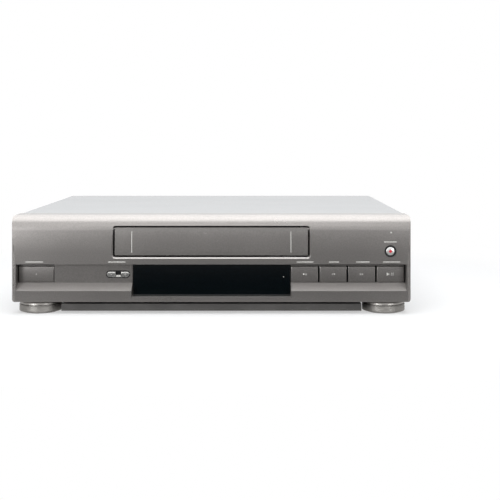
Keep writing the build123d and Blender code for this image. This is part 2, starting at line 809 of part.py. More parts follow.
def make_capacitors():
    places = ((16, 104, 11, 34), (46, 104, 8, 26), (62, 124, 6, 20), (14, 132, 5, 16))
    return group([post(power_left_edge + x, power_front + y, radius, board_top, board_top + height,
                       boss_sides)
                  for x, y, radius, height in places])


def switch_places():
    places = [(power_left + power_width / 2, key_middle)]
    places += [(transport_first + n * transport_pitch + transport_width / 2, key_middle) for n in range(4)]
    places += [(sketch.center().X, key_middle) for sketch in channel_key_outline(0.0)]
    return places + [(record_x, record_z)]


def make_control_board():
    low, high = behind(control_board_depth), behind(control_board_depth + board_thickness)
    board = block(12 - half_width, half_width - 8, low, high, foot_height + 6.5, band_top + 3)
    return board + block(record_x - 19, half_width - 8, low, high, band_top, slot_top - 0.5)


def make_tact_switches():
    face = control_board_depth - switch_height
    return group([
        block(x - 3, x + 3, behind(face), behind(control_board_depth), z - 3, z + 3)
        + rod_y(x, z, 1.6, behind(face - 0.9), behind(face + 0.5), peg_sides)
        for x, z in switch_places()
    ])


def make_display_tube():
    edge = window_half_width - 16
    glass = block(-edge, edge, behind(15.2), behind(control_board_depth), window_floor + 7.2, band_top - 6)
    return chamfer(glass.faces().sort_by(Axis.Y)[0].edges(), 0.8)


# ---- Deck ----
def make_deck_plate():
    deck = block(-deck_half_width, deck_half_width, deck_front, deck_rear, deck_level, deck_top)
    for x in deck_post_x:
        for y in deck_post_y:
            deck -= post(x, y, 1.8, deck_level - 1, deck_top + 1, peg_sides)
    for side in (-1, 1):
        deck -= guide_slot(side, 3.0, deck_level - 1, deck_top + 1)
    deck -= post(capstan_x, capstan_y, 4.0, deck_level - 1, deck_top + 1)
    deck -= block(-24, 24, deck_datum - 30, deck_datum - 8, deck_level - 1, deck_top + 1)
    return deck + post(cam_x, cam_y, cam_stud_radius, deck_top - 0.5, gear_low + 7.5)


def make_deck_screws():
    return group([
        post(x, y, 3.5, deck_top, deck_top + 2, boss_sides)
        + post(x, y, 1.5, deck_level - 7, deck_top + 1, peg_sides)
        for x in deck_post_x for y in deck_post_y
    ])


def guide_slot(side, half_slot, z_low, z_high):
    """Straight slot that a tape guide runs in, on the left (-1) or the right (1)."""
    dx, dy = guide_end[0] - guide_start[0], guide_end[1] - guide_start[1]
    middle = (side * (guide_start[0] + guide_end[0]) / 2, (guide_start[1] + guide_end[1]) / 2)
    angle = math.degrees(math.atan2(dy, side * dx))
    sketch = Pos(*middle) * Rot(0, 0, angle) * SlotOverall(math.hypot(dx, dy) + 2 * half_slot, 2 * half_slot)
    return upright(sketch, z_low, z_high)


def make_guide_rails():
    rails = []
    for side in (-1, 1):
        rail = guide_slot(side, 8.0, deck_top, deck_top + 1.5)
        rails.append(rail - guide_slot(side, 3.0, deck_top - 1, deck_top + 2))
    return group(rails)


def make_tape_guide(side):
    """A guide base with its key in the slot, an upright roller and a slanted post behind it."""
    x, y = side * guide_start[0], guide_start[1]
    top = deck_top + 1.8
    base = post(x, y, 7.0, top, top + 3, wheel_sides)
    key = post(x, y, 2.7, deck_level - 1.2, top + 1, peg_sides)
    roller = post(x, y, 3.0, top, top + 20) + post(x, y, 1.2, top + 19, top + 24, peg_sides)
    roller += post(x, y, 4.2, top + 20, top + 21.2, boss_sides)
    slanted = Pos(x, y, 0) * Rot(0, 8 * side, 0) * Pos(0, -4.6, top + 1) * bar(1.1, 18, peg_sides)
    return base + key + roller + slanted


def drum_frame():
    return Pos(0, drum_y, drum_level) * Rot(drum_tilt, 0, 0)


def make_lower_drum():
    """Fixed half of the head drum, with the slanting ledge that the tape's edge runs on."""
    drum = bar(drum_radius, lower_drum_height)
    above_ledge = bar(drum_radius + 4, 30)
    above_ledge -= Cylinder(drum_radius - 0.35, 70)
    drum -= Pos(0, 0, lower_drum_height * 0.45) * Rot(0, 6, 0) * above_ledge
    drum = drum_frame() * drum
    foot = post(0, drum_y, drum_radius - 6, deck_top, drum_level + 3, wheel_sides)
    for x in (11 - drum_radius, drum_radius - 11):
        foot += block(x - 6, x + 6, drum_y - drum_radius - 1, drum_y + drum_radius + 1,
                      deck_top, deck_top + 4)
    return drum + foot - drum_frame() * Cylinder(drum_shaft_radius + running_gap, 80)


def make_upper_drum():
    """Rotating half, with head windows in its lower edge and the shaft that carries it."""
    low = lower_drum_height + 0.3
    drum = Pos(0, 0, low) * bar(drum_radius, upper_drum_height)
    for turn in range(4):
        drum -= Rot(0, 0, 90 * turn) * Pos(drum_radius, 0, low + 1) * Box(5, 6, 4)
    recess = bar(drum_radius - 4, 8, wheel_sides) - bar(12, 8, boss_sides)
    drum -= Pos(0, 0, low + upper_drum_height - 2) * recess
    shaft = Pos(0, 0, 2) * bar(drum_shaft_radius, low + 4)
    return drum_frame() * (drum + shaft)


def make_drum_rotor():
    """Rotor of the drum motor: a hub and a disc pierced by three holes."""
    base = lower_drum_height + 0.3 + upper_drum_height
    can = Pos(0, 0, base) * bar(drum_radius - 19.5, 7, boss_sides)
    rim = Pos(0, 0, base + 3) * bar(drum_radius - 10, 4, wheel_sides)
    for turn in range(3):
        rim -= Rot(0, 0, 120 * turn + 30) * Pos(drum_radius - 15, 0, base) * bar(2.6, 20, peg_sides)
    return drum_frame() * (can + rim)


def make_erase_head():
    x, y = guide_start[0] * -1 - 31, deck_datum + 26
    stand = post(x, y, 3, deck_top, deck_top + 14, peg_sides)
    return stand + block(x - 5, x + 5, y - 4, y + 4, deck_top + 13, deck_top + 29)


def make_audio_control_head():
    """Head block on a tilt plate with three adjusting screws."""
    x, y = capstan_x + 12, deck_datum + 30
    plate = block(x - 9, x + 9, y - 8, y + 8, deck_top + 5, deck_top + 6.5)
    head = block(x - 6.5, x + 3, y - 4.5, y + 4.5, deck_top + 6, deck_top + 26)
    screws = [post(x + dx, y + dy, 1.5, deck_top, deck_top + 9, peg_sides)
              for dx, dy in ((7, -6), (7, 6), (-7, 6))]
    return join([plate, head] + screws)


def make_capstan():
    """Capstan shaft with its flywheel below the deck."""
    wheel = post(capstan_x, capstan_y, 20.0, deck_level - 9, deck_level - 2.5)
    wheel += post(capstan_x, capstan_y, 6.0, deck_level - 3, deck_level - 1.2, boss_sides)
    return wheel + post(capstan_x, capstan_y, capstan_radius, deck_level - 11, deck_top + 28)


def make_capstan_bearing():
    bush = post(capstan_x, capstan_y, 3.8, deck_level - 0.8, deck_top)
    bush += post(capstan_x, capstan_y, 3.2, deck_top - 0.5, deck_top + 6)
    return bush - post(capstan_x, capstan_y, capstan_radius + running_gap, 0, deck_top + 20)


def arm_outline(start, end, width):
    length = math.hypot(end[0] - start[0], end[1] - start[1])
    angle = math.degrees(math.atan2(end[1] - start[1], end[0] - start[0]))
    middle = ((start[0] + end[0]) / 2, (start[1] + end[1]) / 2)
    return Pos(*middle) * Rot(0, 0, angle) * SlotOverall(length + width, width)


def make_pinch_arm():
    arm = upright(arm_outline(pinch_pivot, pinch_rest, 8), deck_top + 0.3, deck_top + 2.3)
    arm += post(*pinch_pivot, 4.0, deck_top + 0.3, deck_top + 12)
    return arm + post(*pinch_rest, 1.5, deck_top + 1, deck_top + 27)


def make_pinch_roller():
    roller = post(*pinch_rest, pinch_radius, deck_top + 7, deck_top + 23)
    return roller - post(*pinch_rest, 1.5 + running_gap, 0, 90)


def make_tension_arm():
    arm = upright(arm_outline(tension_pivot, tension_post, 6), deck_top + 0.3, deck_top + 1.8)
    arm += post(*tension_pivot, 3.5, deck_top + 0.3, deck_top + 6)
    return arm + post(*tension_post, 2.0, deck_top + 1, deck_top + 26)


def make_reel_table(side):
    """Reel table with a splined spindle that fits a cassette hub."""
    x = side * reel_x
    table = post(x, reel_y, reel_radius, deck_top + 0.3, deck_top + 3.5)
    table += post(x, reel_y, 11.0, deck_top + 3, deck_top + 7, wheel_sides)
    low, shoulder, tip = deck_top + 6, deck_top + 18, deck_top + 22
    spindle = outline((0, low), (5.5, low), (5.5, shoulder), (2.5, tip), (0, tip))
    table += Pos(x, reel_y, 0) * revolve(Plane.XZ * spindle, Axis.Z)
    for turn in range(3):
        spline = Rot(0, 0, 120 * turn) * block(4.5, 8.0, -1, 1, deck_top + 6.5, deck_top + 16)
        table += Pos(x, reel_y, 0) * spline
    return table


def make_idler_arm():
    arm = upright(arm_outline(idler_pivot, idler_centre, 7), deck_top + 0.3, deck_top + 1.5)
    arm += post(*idler_pivot, 3.0, deck_top + 0.3, deck_top + 4)
    return arm + post(*idler_centre, 1.5, deck_top + 1, deck_top + 7.5)


def make_idler_wheel():
    wheel = post(*idler_centre, 11.0, deck_top + 1.8, deck_top + 5)
    return wheel - post(*idler_centre, 1.5 + running_gap, 0, 90)


def make_cam_gear():
    """Mode cam: a toothed disc with an eccentric groove in its upper face."""
    gear = upright(gear_outline(cam_teeth, tooth_module), gear_low, gear_low + 4)
    gear += post(0, 0, 7, gear_low - 0.9, gear_low + 6, boss_sides)
    groove = RegularPolygon(14.5, wheel_sides) - RegularPolygon(12, wheel_sides)
    gear -= Pos(1.6, 0, 0) * upright(groove, gear_low + 2, gear_low + 5)
    gear -= post(0, 0, cam_stud_radius + running_gap, 0, 90)
    return Pos(cam_x, cam_y, 0) * gear


def make_motor_pinion():
    """Small gear on the loading motor's shaft, with a tooth in the cam gear's gap."""
    gear = upright(gear_outline(pinion_teeth, tooth_module), gear_low, gear_low + 4.5)
    shaft = post(0, 0, 1.0, gear_low + 4, gear_low + 9)
    return Pos(pinion_x, pinion_y, 0) * (Rot(0, 0, mesh_angle + 180) * gear + shaft)


def make_loading_motor():
    """Motor can with flat sides on a bracket that stands on the deck."""
    low = gear_low + 6.5
    can = post(pinion_x, pinion_y, 9.0, low, low + 24)
    can &= block(pinion_x - 9, pinion_x + 9, pinion_y - 7.5, pinion_y + 7.5, low, low + 30)
    bracket = block(pinion_x - 9, pinion_x + 12, pinion_y - 8, pinion_y + 12, low - 1, low)
    motor = can + bracket + post(pinion_x, pinion_y, 3, low + 23, low + 25.5, boss_sides)
    for dx, dy in ((-6.5, 10), (10, 10), (10, -6)):
        motor += post(pinion_x + dx, pinion_y + dy, 2, deck_top, low - 0.5, peg_sides)
    return motor - post(pinion_x, pinion_y, 1.0 + running_gap, 0, low + 5)


# ---- Cassette housing ----
def travel_slots():
    """Side view of the L-shaped slots: one long level run, and a drop for each holder pin."""
    slots = []
    for setback in holder_pin_setbacks:
        y = holder_rear - setback
        level = Pos(y - load_travel / 2, pin_level) * Rectangle(
            load_travel + 2 * slot_pin_radius, 2 * slot_pin_radius)
        drop = Pos(y, pin_level - drop_travel / 2) * Rectangle(
            2 * slot_pin_radius, drop_travel + 2 * slot_pin_radius)
        slots += [level, drop]
    return slots


def make_housing_frames():
    y_low = holder_front - load_travel + 2
    side = outline(
        (y_low, pin_level - 10), (y_low + 12, pin_level - 10), (y_low + 24, deck_top),
        (holder_rear + 8, deck_top),
        (holder_rear + 8, holder_top + 1), (holder_rear + 2, holder_top + 4), (y_low, holder_top + 4),
    )
    plate = from_side(side, frame_inner, frame_inner + frame_sheet)
    for slot in travel_slots():
        plate -= from_side(slot, frame_inner - 1, frame_inner + frame_sheet + 1)
    plate += block(frame_inner, frame_inner + 6.5, y_low + 26, holder_rear + 8, deck_top, deck_top + 1.2)
    return group(mirrored_pair(plate))


def make_loading_carriage():
    """Sliding bridge outside the housing frames, with a rack and upright slots for the pins."""
    low, high = pin_level - drop_travel - 6, holder_top + 9
    side = outline(
        (holder_front, low), (holder_rear, low), (holder_rear, high), (holder_rear - 10, high),
        (holder_rear - 10, pin_level + 6), (holder_front, pin_level + 6),
    )
    plate = from_side(side, carriage_inner, carriage_inner + frame_sheet)
    for setback in holder_pin_setbacks:
        y = holder_rear - setback
        slot = Pos(y, pin_level - drop_travel / 2) * Rectangle(
            2 * slot_pin_radius, drop_travel + 2 * slot_pin_radius)
        plate -= from_side(slot, carriage_inner - 1, carriage_inner + frame_sheet + 1)
    for tooth in range(12):
        y = holder_front + 2 + tooth * 2.8
        plate += from_side(outline((y, pin_level + 5.5), (y + 1.6, pin_level + 5.5),
                                   (y + 1.1, pin_level + 7.4),
                                   (y + 0.5, pin_level + 7.4)), carriage_inner, carriage_inner + frame_sheet)
    bridge = block(-carriage_inner - 1, carriage_inner + 1, holder_rear - 10, holder_rear, high - 1.5, high)
    return join(mirrored_pair(plate) + [bridge])


def make_cassette_holder():
    """Folded sheet cage open to the front and rear, with a guide pin at each end of each side."""
    outer = block(-holder_half - holder_sheet, holder_half + holder_sheet, holder_front, holder_rear,
                  holder_bottom - holder_sheet, holder_top + holder_sheet)
    inner = block(-holder_half, holder_half, holder_front - 1, holder_rear + 1, holder_bottom, holder_top)
    holder = outer - inner
    holder -= block(-holder_half + 14, holder_half - 14, holder_front - 1, holder_rear + 1,
                    holder_bottom - 5, holder_bottom + 5)
    holder -= block(-50, 50, holder_front + 12, holder_rear - 12, holder_top - 1, holder_top + 5)
    for setback in holder_pin_setbacks:
        y = holder_rear - setback
        pin = rod_x(y, pin_level, holder_pin_radius, holder_half + 0.5, carriage_inner + frame_sheet)
        for shape in mirrored_pair(pin):
            holder += shape
    return holder


# ---- Write one file per node ----
os.makedirs("parts", exist_ok=True)

save("front_panel", make_front_panel())
save("display_window", make_display_window())
save("record_collar", make_record_collar())
save("indicator_light", make_indicator_light())
save("cassette_flap", make_cassette_flap())
save("flap_spring", make_flap_spring())

save("power_button", make_key(power_left, power_width))
transport_names = ("stop_eject_button", "rewind_button", "forward_button", "play_pause_button")
for number, name in enumerate(transport_names):
    save(name, make_key(transport_first + number * transport_pitch, transport_width))
for name, key in zip(("channel_down_button", "channel_up_button"), make_channel_keys()):
    save(name, key)
save("record_button", make_record_button())

save("bottom_tub", make_bottom_tub())
save("top_cover", make_top_cover())
save("cover_screws", make_cover_screws())
save("rear_panel", make_rear_panel())
save("plinth", make_plinth())
save("front_feet", make_front_feet())
save("rear_feet", make_rear_feet())
save("foot_pads", make_foot_pads())

save("scart_sockets", make_scart_sockets())
save("aerial_sockets", make_aerial_sockets())
save("mains_inlet", make_mains_inlet())
save("tuner_box", make_tuner_box())
save("main_board", make_main_board())
save("board_parts", make_board_parts())
save("power_board", make_power_board())
save("transformer", make_transformer())
save("heat_sink", make_heat_sink())
save("capacitors", make_capacitors())
save("control_board", make_control_board())
save("tact_switches", make_tact_switches())
save("display_tube", make_display_tube())

save("deck_plate", make_deck_plate())
save("deck_screws", make_deck_screws())
save("guide_rails", make_guide_rails())
save("supply_guide", make_tape_guide(-1))
save("take_up_guide", make_tape_guide(1))
save("lower_drum", make_lower_drum())
save("upper_drum", make_upper_drum())
save("drum_rotor", make_drum_rotor())
save("erase_head", make_erase_head())
save("audio_control_head", make_audio_control_head())
save("capstan", make_capstan())
save("capstan_bearing", make_capstan_bearing())
save("pinch_arm", make_pinch_arm())
save("pinch_roller", make_pinch_roller())
save("tension_arm", make_tension_arm())
save("supply_reel", make_reel_table(-1))
save("take_up_reel", make_reel_table(1))
save("idler_arm", make_idler_arm())
save("idler_wheel", make_idler_wheel())
save("cam_gear", make_cam_gear())
save("motor_pinion", make_motor_pinion())
save("loading_motor", make_loading_motor())
save("housing_frames", make_housing_frames())
save("loading_carriage", make_loading_carriage())
save("cassette_holder", make_cassette_holder())
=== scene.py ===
"""Looks of a domestic video cassette recorder, built round its packed construction model.

The recorder stands on the ground plane with its front towards -Y. Every length is in metres.
Each sub-assembly is a class whose fields are its sizes and whose methods build and dress its
meshes. Each surface finish is a frozen dataclass that makes one procedural material.
"""

import json
import logging
import math
from dataclasses import dataclass
from enum import Enum
from typing import Any, Callable, Iterable, Sequence

import bmesh
import bpy
from mathutils import Matrix, Vector

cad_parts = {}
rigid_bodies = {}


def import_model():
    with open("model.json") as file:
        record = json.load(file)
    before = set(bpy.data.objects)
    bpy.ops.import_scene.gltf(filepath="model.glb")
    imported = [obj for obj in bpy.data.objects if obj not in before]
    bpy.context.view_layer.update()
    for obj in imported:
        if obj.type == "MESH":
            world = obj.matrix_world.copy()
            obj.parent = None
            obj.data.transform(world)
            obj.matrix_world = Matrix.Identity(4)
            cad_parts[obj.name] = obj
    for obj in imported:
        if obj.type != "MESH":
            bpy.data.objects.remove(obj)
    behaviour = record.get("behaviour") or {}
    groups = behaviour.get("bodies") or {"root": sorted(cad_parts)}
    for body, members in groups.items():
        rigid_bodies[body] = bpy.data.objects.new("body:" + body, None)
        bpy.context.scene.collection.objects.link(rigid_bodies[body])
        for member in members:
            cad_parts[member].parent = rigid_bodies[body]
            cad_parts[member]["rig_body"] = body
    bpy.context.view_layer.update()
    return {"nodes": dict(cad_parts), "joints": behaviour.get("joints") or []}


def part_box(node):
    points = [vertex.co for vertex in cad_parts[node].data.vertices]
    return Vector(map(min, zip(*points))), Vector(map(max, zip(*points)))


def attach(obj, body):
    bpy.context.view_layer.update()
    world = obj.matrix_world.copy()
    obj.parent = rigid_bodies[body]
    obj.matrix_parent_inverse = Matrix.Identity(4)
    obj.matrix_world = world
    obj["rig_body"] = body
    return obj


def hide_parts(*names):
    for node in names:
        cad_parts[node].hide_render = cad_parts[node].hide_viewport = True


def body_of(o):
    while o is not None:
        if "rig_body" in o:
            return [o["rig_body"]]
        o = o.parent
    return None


for stray in list(bpy.data.objects):
    bpy.data.objects.remove(stray)
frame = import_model()

LOG = logging.getLogger("recorder")
MM = 0.001
FLAP_HALF = 0.0968
SMOOTH_ANGLE = math.radians(32)
MERGE_DISTANCE = 1e-6
FINE_MERGE_DISTANCE = 1e-7
FACE_WEIGHT = 90
WIRE_SIDES = 8
ROUND_SIDES = 128
INK_RISE = 0.03 * MM
# Tone of dust on level faces, lighter than the paint, which also stands in for the light that
# falls on them from above.
DUST_AND_TOP_LIGHT_TONE = (0.33, 0.31, 0.295)
RUBBER_DUST = (0.16, 0.155, 0.15)
# Black painted as shade on the panel's sunk floors.
PAINTED_SHADE_BLACK = (0.003, 0.003, 0.003)
WHITE = (1.0, 1.0, 1.0)

Point = tuple[float, float, float]
Colour = tuple[float, float, float]
Outline = list[tuple[float, float]]
Places = Sequence[tuple[Point, Point]]
Span = tuple[float, float]

ORIGIN: Point = (0, 0, 0)
UP: Point = (0, 0, 1)
FORWARD: Point = (0, -1, 0)
BACKWARD: Point = (0, 1, 0)


def srgb(red: int, green: int, blue: int) -> Colour:
    """Linear colour of a colour as it is read off a swatch.

    Args:
        red: Red, 0 to 255.
        green: Green, 0 to 255.
        blue: Blue, 0 to 255.

    Returns:
        The three linear channels, 0 to 1.
    """
    def linear(level: int) -> float:
        """One channel without its display curve."""
        share = level / 255
        return share / 12.92 if share <= 0.04045 else ((share + 0.055) / 1.055) ** 2.4
    return linear(red), linear(green), linear(blue)


# ---- Node trees ----

class Tree:
    """A node tree under construction, for a material or for geometry."""

    def __init__(self, tree: bpy.types.NodeTree) -> None:
        """Starts on an existing tree, emptied."""
        self.tree = tree
        tree.nodes.clear()

    def node(self, kind: str, settings: dict[str, Any] | None = None,
             inputs: dict[Any, Any] | None = None) -> bpy.types.Node:
        """Adds one node.

        Args:
            kind: The node's type, such as "ShaderNodeMath".
            settings: Its properties, set before its sockets.
            inputs: Socket name or number to a plain value, a socket or a wrapped value.

        Returns:
            The new node.
        """
        made = self.tree.nodes.new(kind)
        for name, setting in (settings or {}).items():
            setattr(made, name, setting)
        for key, given in (inputs or {}).items():
            self.feed(made.inputs[key], given)
        return made

    def feed(self, socket: bpy.types.NodeSocket, given: Any) -> None:
        """Links a socket, or sets its value.

        Args:
            socket: The input socket.
            given: A Value, a socket, or a plain value of the socket's kind.
        """
        if isinstance(given, Value):
            given = given.socket
        if isinstance(given, bpy.types.NodeSocket):
            self.tree.links.new(given, socket)
            return
        if socket.type == "RGBA" and len(given) == 3:
            given = (*given, 1.0)
        socket.default_value = given

    def value(self, kind: str, settings: dict[str, Any] | None = None,
              inputs: dict[Any, Any] | None = None, output: Any = 0) -> "Value":
        """Adds one node and wraps one of its outputs.

        Args:
            kind: The node's type.
            settings: Its properties.
            inputs: Its socket values.
            output: Name or number of the output.

        Returns:
            The wrapped output socket.
        """
        return Value(self, self.node(kind, settings, inputs).outputs[output])

    def part(self, way: "Value", letter: str) -> "Value":
        """One coordinate of a vector: X, Y or Z."""
        return self.value("ShaderNodeSeparateXYZ", None, {0: way}, output=letter)


class Value:
    """A node's output socket that takes part in Python arithmetic."""

    def __init__(self, tree: Tree, socket: bpy.types.NodeSocket) -> None:
        """Wraps a socket of a tree."""
        self.tree = tree
        self.socket = socket

    def _maths(self, operation: str, first: Any, second: Any = 0.0) -> "Value":
        """Adds a Math node on two numbers or wrapped values."""
        return self.tree.value("ShaderNodeMath", {"operation": operation}, {0: first, 1: second})

    def __add__(self, other: Any) -> "Value":
        """self + other."""
        return self._maths("ADD", self, other)

    __radd__ = __add__

    def __sub__(self, other: Any) -> "Value":
        """self - other."""
        return self._maths("SUBTRACT", self, other)

    def __rsub__(self, other: Any) -> "Value":
        """other - self."""
        return self._maths("SUBTRACT", other, self)

    def __mul__(self, other: Any) -> "Value":
        """self * other."""
        return self._maths("MULTIPLY", self, other)

    __rmul__ = __mul__

    def __truediv__(self, other: Any) -> "Value":
        """self / other."""
        return self._maths("DIVIDE", self, other)

    def __pow__(self, other: Any) -> "Value":
        """self to the power of other."""
        return self._maths("POWER", self, other)

    def above(self, limit: float) -> "Value":
        """1 where the value is greater than the limit, else 0."""
        return self._maths("GREATER_THAN", self, limit)

    def sine(self) -> "Value":
        """Sine of the value in radians."""
        return self._maths("SINE", self)

    def remap(self, low: float, high: float, to_low: float = 0.0,
              to_high: float = 1.0) -> "Value":
        """Smoothly maps low to high onto another range, clamped at its ends."""
        return self.tree.value("ShaderNodeMapRange", {"interpolation_type": "SMOOTHSTEP"},
                               {0: self, 1: low, 2: high, 3: to_low, 4: to_high})


class ShaderTree(Tree):
    """The node tree of one material, which ends in a Principled shader."""

    def __init__(self, material: bpy.types.Material) -> None:
        """Gives a material a shader, an output and its object's coordinates."""
        material.use_nodes = True
        super().__init__(material.node_tree)
        self.shader = self.node("ShaderNodeBsdfPrincipled")
        self.output = self.node("ShaderNodeOutputMaterial", None, {0: self.shader.outputs[0]})
        self.place = self.value("ShaderNodeTexCoord", output="Object")

    def noise(self, scale: float, detail: float = 2.0, stretch: Point = (1, 1, 1)) -> Value:
        """Noise in the object's own space.

        Args:
            scale: Features per metre.
            detail: Octaves of finer noise.
            stretch: Factors on the three axes of the pattern.

        Returns:
            The noise, about 0 to 1 round a half.
        """
        where = self.value("ShaderNodeMapping", None, {"Vector": self.place, "Scale": stretch})
        inputs = {"Vector": where, "Scale": scale, "Detail": detail}
        return self.value("ShaderNodeTexNoise", None, inputs)

    def axis(self, letter: str) -> Value:
        """One of the object's coordinates, X, Y or Z, in metres."""
        return self.part(self.place, letter)

    def upward(self) -> Value:
        """How far the face looks up: 1 on level ground, 0 on a wall."""
        return self.part(self.value("ShaderNodeTexCoord", output="Normal"), "Z")

    def mix(self, first: Any, second: Any, factor: Any) -> Value:
        """Mixes two colours, the second by the factor."""
        settings = {"data_type": "RGBA", "blend_type": "MIX", "clamp_factor": True}
        return self.value("ShaderNodeMix", settings, {0: factor, 6: first, 7: second}, output=2)

    def bump(self, height: Value, depth: float, strength: float = 1.0) -> None:
        """Feeds a height pattern of that depth in metres into the shader's normal."""
        inputs = {"Height": height, "Distance": depth, "Strength": strength}
        self.feed(self.shader.inputs["Normal"], self.value("ShaderNodeBump", None, inputs))

    def set(self, **sockets: Any) -> None:
        """Sets the shader's sockets, named in lower case with _ for a space."""
        for name, given in sockets.items():
            title = name.replace("_", " ").title().replace("Ior", "IOR")
            self.feed(self.shader.inputs[title], given)


# ---- Finishes ----

@dataclass(frozen=True)
class Finish:
    """One surface finish. A subclass says how its shader nodes are built."""
    name: str
    colour: Colour
    roughness: float = 0.5

    def material(self) -> bpy.types.Material:
        """The finish's material, made on its first use."""
        title = f"{self.name}_finish"
        made = bpy.data.materials.get(title)
        if made is None:
            made = bpy.data.materials.new(title)
            tree = ShaderTree(made)
            tree.set(base_color=self.colour, roughness=self.roughness)
            made.diffuse_color = (*self.colour, 1.0)
            self.build(tree)
        return made

    def shade(self, factor: float, lift: float = 0.0) -> Colour:
        """The finish's colour made darker or lighter, with no channel above 1."""
        return tuple(min(1.0, channel * factor + lift) for channel in self.colour)

    def build(self, tree: ShaderTree) -> None:
        """Adds what the plain colour and roughness lack."""
        raise NotImplementedError


@dataclass(frozen=True)
class ShadeZone:
    """A sunk floor where shade is painted black, behind its front plane and within its other
    limits.
    """
    left: float
    right: float
    low: float
    high: float
    front: float = -144.06 * MM


@dataclass(frozen=True)
class FlakePaint(Finish):
    """Satin paint with fine metal flake, cloudy over large areas, rubbed lighter in scuffs, with
    painted shade on sunk floors.
    """
    metallic: float = 0.35
    flake: float = 0.07
    flake_pitch: float = 0.35 * MM
    coat: float = 0.25
    # How far dust lightens level faces; it also paints the light that falls on them from above.
    dust: float = 0.0
    painted_shade_zones: tuple[ShadeZone, ...] = ()

    def painted_shade_mask(self, tree: ShaderTree) -> Value:
        """1 on the sunk floors where shade is painted black, else 0."""
        across, back, level = tree.axis("X"), tree.axis("Y"), tree.axis("Z")
        inside: Any = 0.0
        for zone in self.painted_shade_zones:
            column = across.above(zone.left) * (1 - across.above(zone.right))
            within = column * level.above(zone.low) * (1 - level.above(zone.high))
            inside = within * back.above(zone.front) + inside
        return inside

    def build(self, tree: ShaderTree) -> None:
        """Mottles colour and roughness, raises the flake, lays dust that also paints top light on
        level faces and paints shade on sunk floors.
        """
        flakes = tree.noise(1 / self.flake_pitch, 1.0)
        mottle = tree.noise(0.3 / self.flake_pitch, 2.0).remap(0.3, 0.7)
        cloud = tree.noise(14.0, 3.0)
        dark = self.shade(1 - 2 * self.flake)
        light = self.shade(1 + 2 * self.flake)
        grain = tree.mix(dark, light, flakes * 0.5 + mottle * 0.5)
        scuff = tree.noise(90.0, 6.0, (1, 1, 3)).remap(0.70, 0.78, 0.0, 0.22)
        worn = tree.mix(grain, self.shade(2.2), scuff)
        patchy = tree.noise(60.0, 4.0).remap(0.2, 0.5, 0.75, 1.0)
        # Dust on level faces, which also paints the light from above: they turn lighter, rougher
        # and less metallic.
        dust_and_top_light = tree.upward().remap(0.66, 0.82, 0.0, self.dust) * patchy
        colour = tree.mix(worn, DUST_AND_TOP_LIGHT_TONE, dust_and_top_light)
        metallic = (1.0 - dust_and_top_light) * self.metallic
        # Painted shade: the sunk floors round the keys and in the channel recess turn black and
        # lose their metal.
        if self.painted_shade_zones:
            black = self.painted_shade_mask(tree)
            colour = tree.mix(colour, PAINTED_SHADE_BLACK, black)
            metallic = (1.0 - black) * metallic
        tree.set(base_color=colour, metallic=metallic, coat_weight=self.coat, coat_roughness=0.2,
                 roughness=(cloud - 0.5) * 0.12 + dust_and_top_light * 0.3 + self.roughness)
        tree.bump(flakes, 0.004 * MM, 0.5)


@dataclass(frozen=True)
class MouldedPlastic(Finish):
    """Plastic with the fine spark-eroded grain of its mould."""
    grain_pitch: float = 0.5 * MM
    grain_depth: float = 0.02 * MM

    def build(self, tree: ShaderTree) -> None:
        """Adds the grain and handling marks."""
        grain = tree.noise(1 / self.grain_pitch, 2.0)
        marks = tree.noise(35.0, 4.0)
        lighter = self.shade(1.35, 0.004)
        tree.set(base_color=tree.mix(self.colour, lighter, marks.remap(0.35, 0.75)),
                 roughness=(marks - 0.5) * 0.16 + self.roughness)
        tree.bump(grain, self.grain_depth, 0.6)


@dataclass(frozen=True)
class WorkedMetal(Finish):
    """Bare or plated metal with the marks of rolling, drawing or turning along one way."""
    stretch: Point = (1, 1, 1)
    line_pitch: float = 0.4 * MM
    line_depth: float = 0.003 * MM
    tarnish: float = 0.25

    def build(self, tree: ShaderTree) -> None:
        """Draws the tool marks and a cloudy tarnish."""
        lines = tree.noise(1 / self.line_pitch, 2.0, self.stretch)
        cloud = tree.noise(40.0, 3.0)
        dull = self.shade(1 - self.tarnish)
        tree.set(base_color=tree.mix(self.colour, dull, cloud.remap(0.40, 0.72)), metallic=1.0,
                 roughness=(lines - 0.5) * 0.15 + (cloud - 0.5) * 0.10 + self.roughness)
        tree.bump(lines, self.line_depth, 0.5)


@dataclass(frozen=True)
class Spangle(Finish):
    """Hot-dip zinc on sheet steel, with its crystal spangle."""
    crystal: float = 7 * MM

    def build(self, tree: ShaderTree) -> None:
        """Shades each crystal by its own random tone."""
        settings = {"feature": "F1"}
        inputs = {"Vector": tree.place, "Scale": 1 / self.crystal}
        tone = tree.value("ShaderNodeTexVoronoi", settings, inputs, output="Color")
        tone = tree.value("ShaderNodeSeparateColor", None, {0: tone})
        dull = self.shade(0.72)
        fine = tree.noise(900.0, 2.0)
        tree.set(base_color=tree.mix(dull, self.colour, tone), metallic=0.85,
                 roughness=tone * 0.14 + (fine - 0.5) * 0.1 + self.roughness)


@dataclass(frozen=True)
class Rubber(Finish):
    """Matt rubber, dusty where the light catches it."""

    def build(self, tree: ShaderTree) -> None:
        """Adds dust and a soft grain."""
        dust = tree.noise(160.0, 4.0).remap(0.5, 0.8, 0.0, 0.35)
        tree.set(base_color=tree.mix(self.colour, RUBBER_DUST, dust))
        tree.bump(tree.noise(1500.0, 2.0), 0.03 * MM, 0.5)


@dataclass(frozen=True)
class SmokedAcrylic(Finish):
    """Deep black window with a polished face and a trace of dust."""

    def build(self, tree: ShaderTree) -> None:
        """Polishes the face and lets faint wiping marks roughen it."""
        wiped = tree.noise(25.0, 5.0, (1, 1, 6)).remap(0.5, 0.75, 0.0, 0.10)
        tree.set(roughness=wiped + self.roughness, coat_weight=0.4, coat_roughness=0.03,
                 specular_ior_level=0.42)


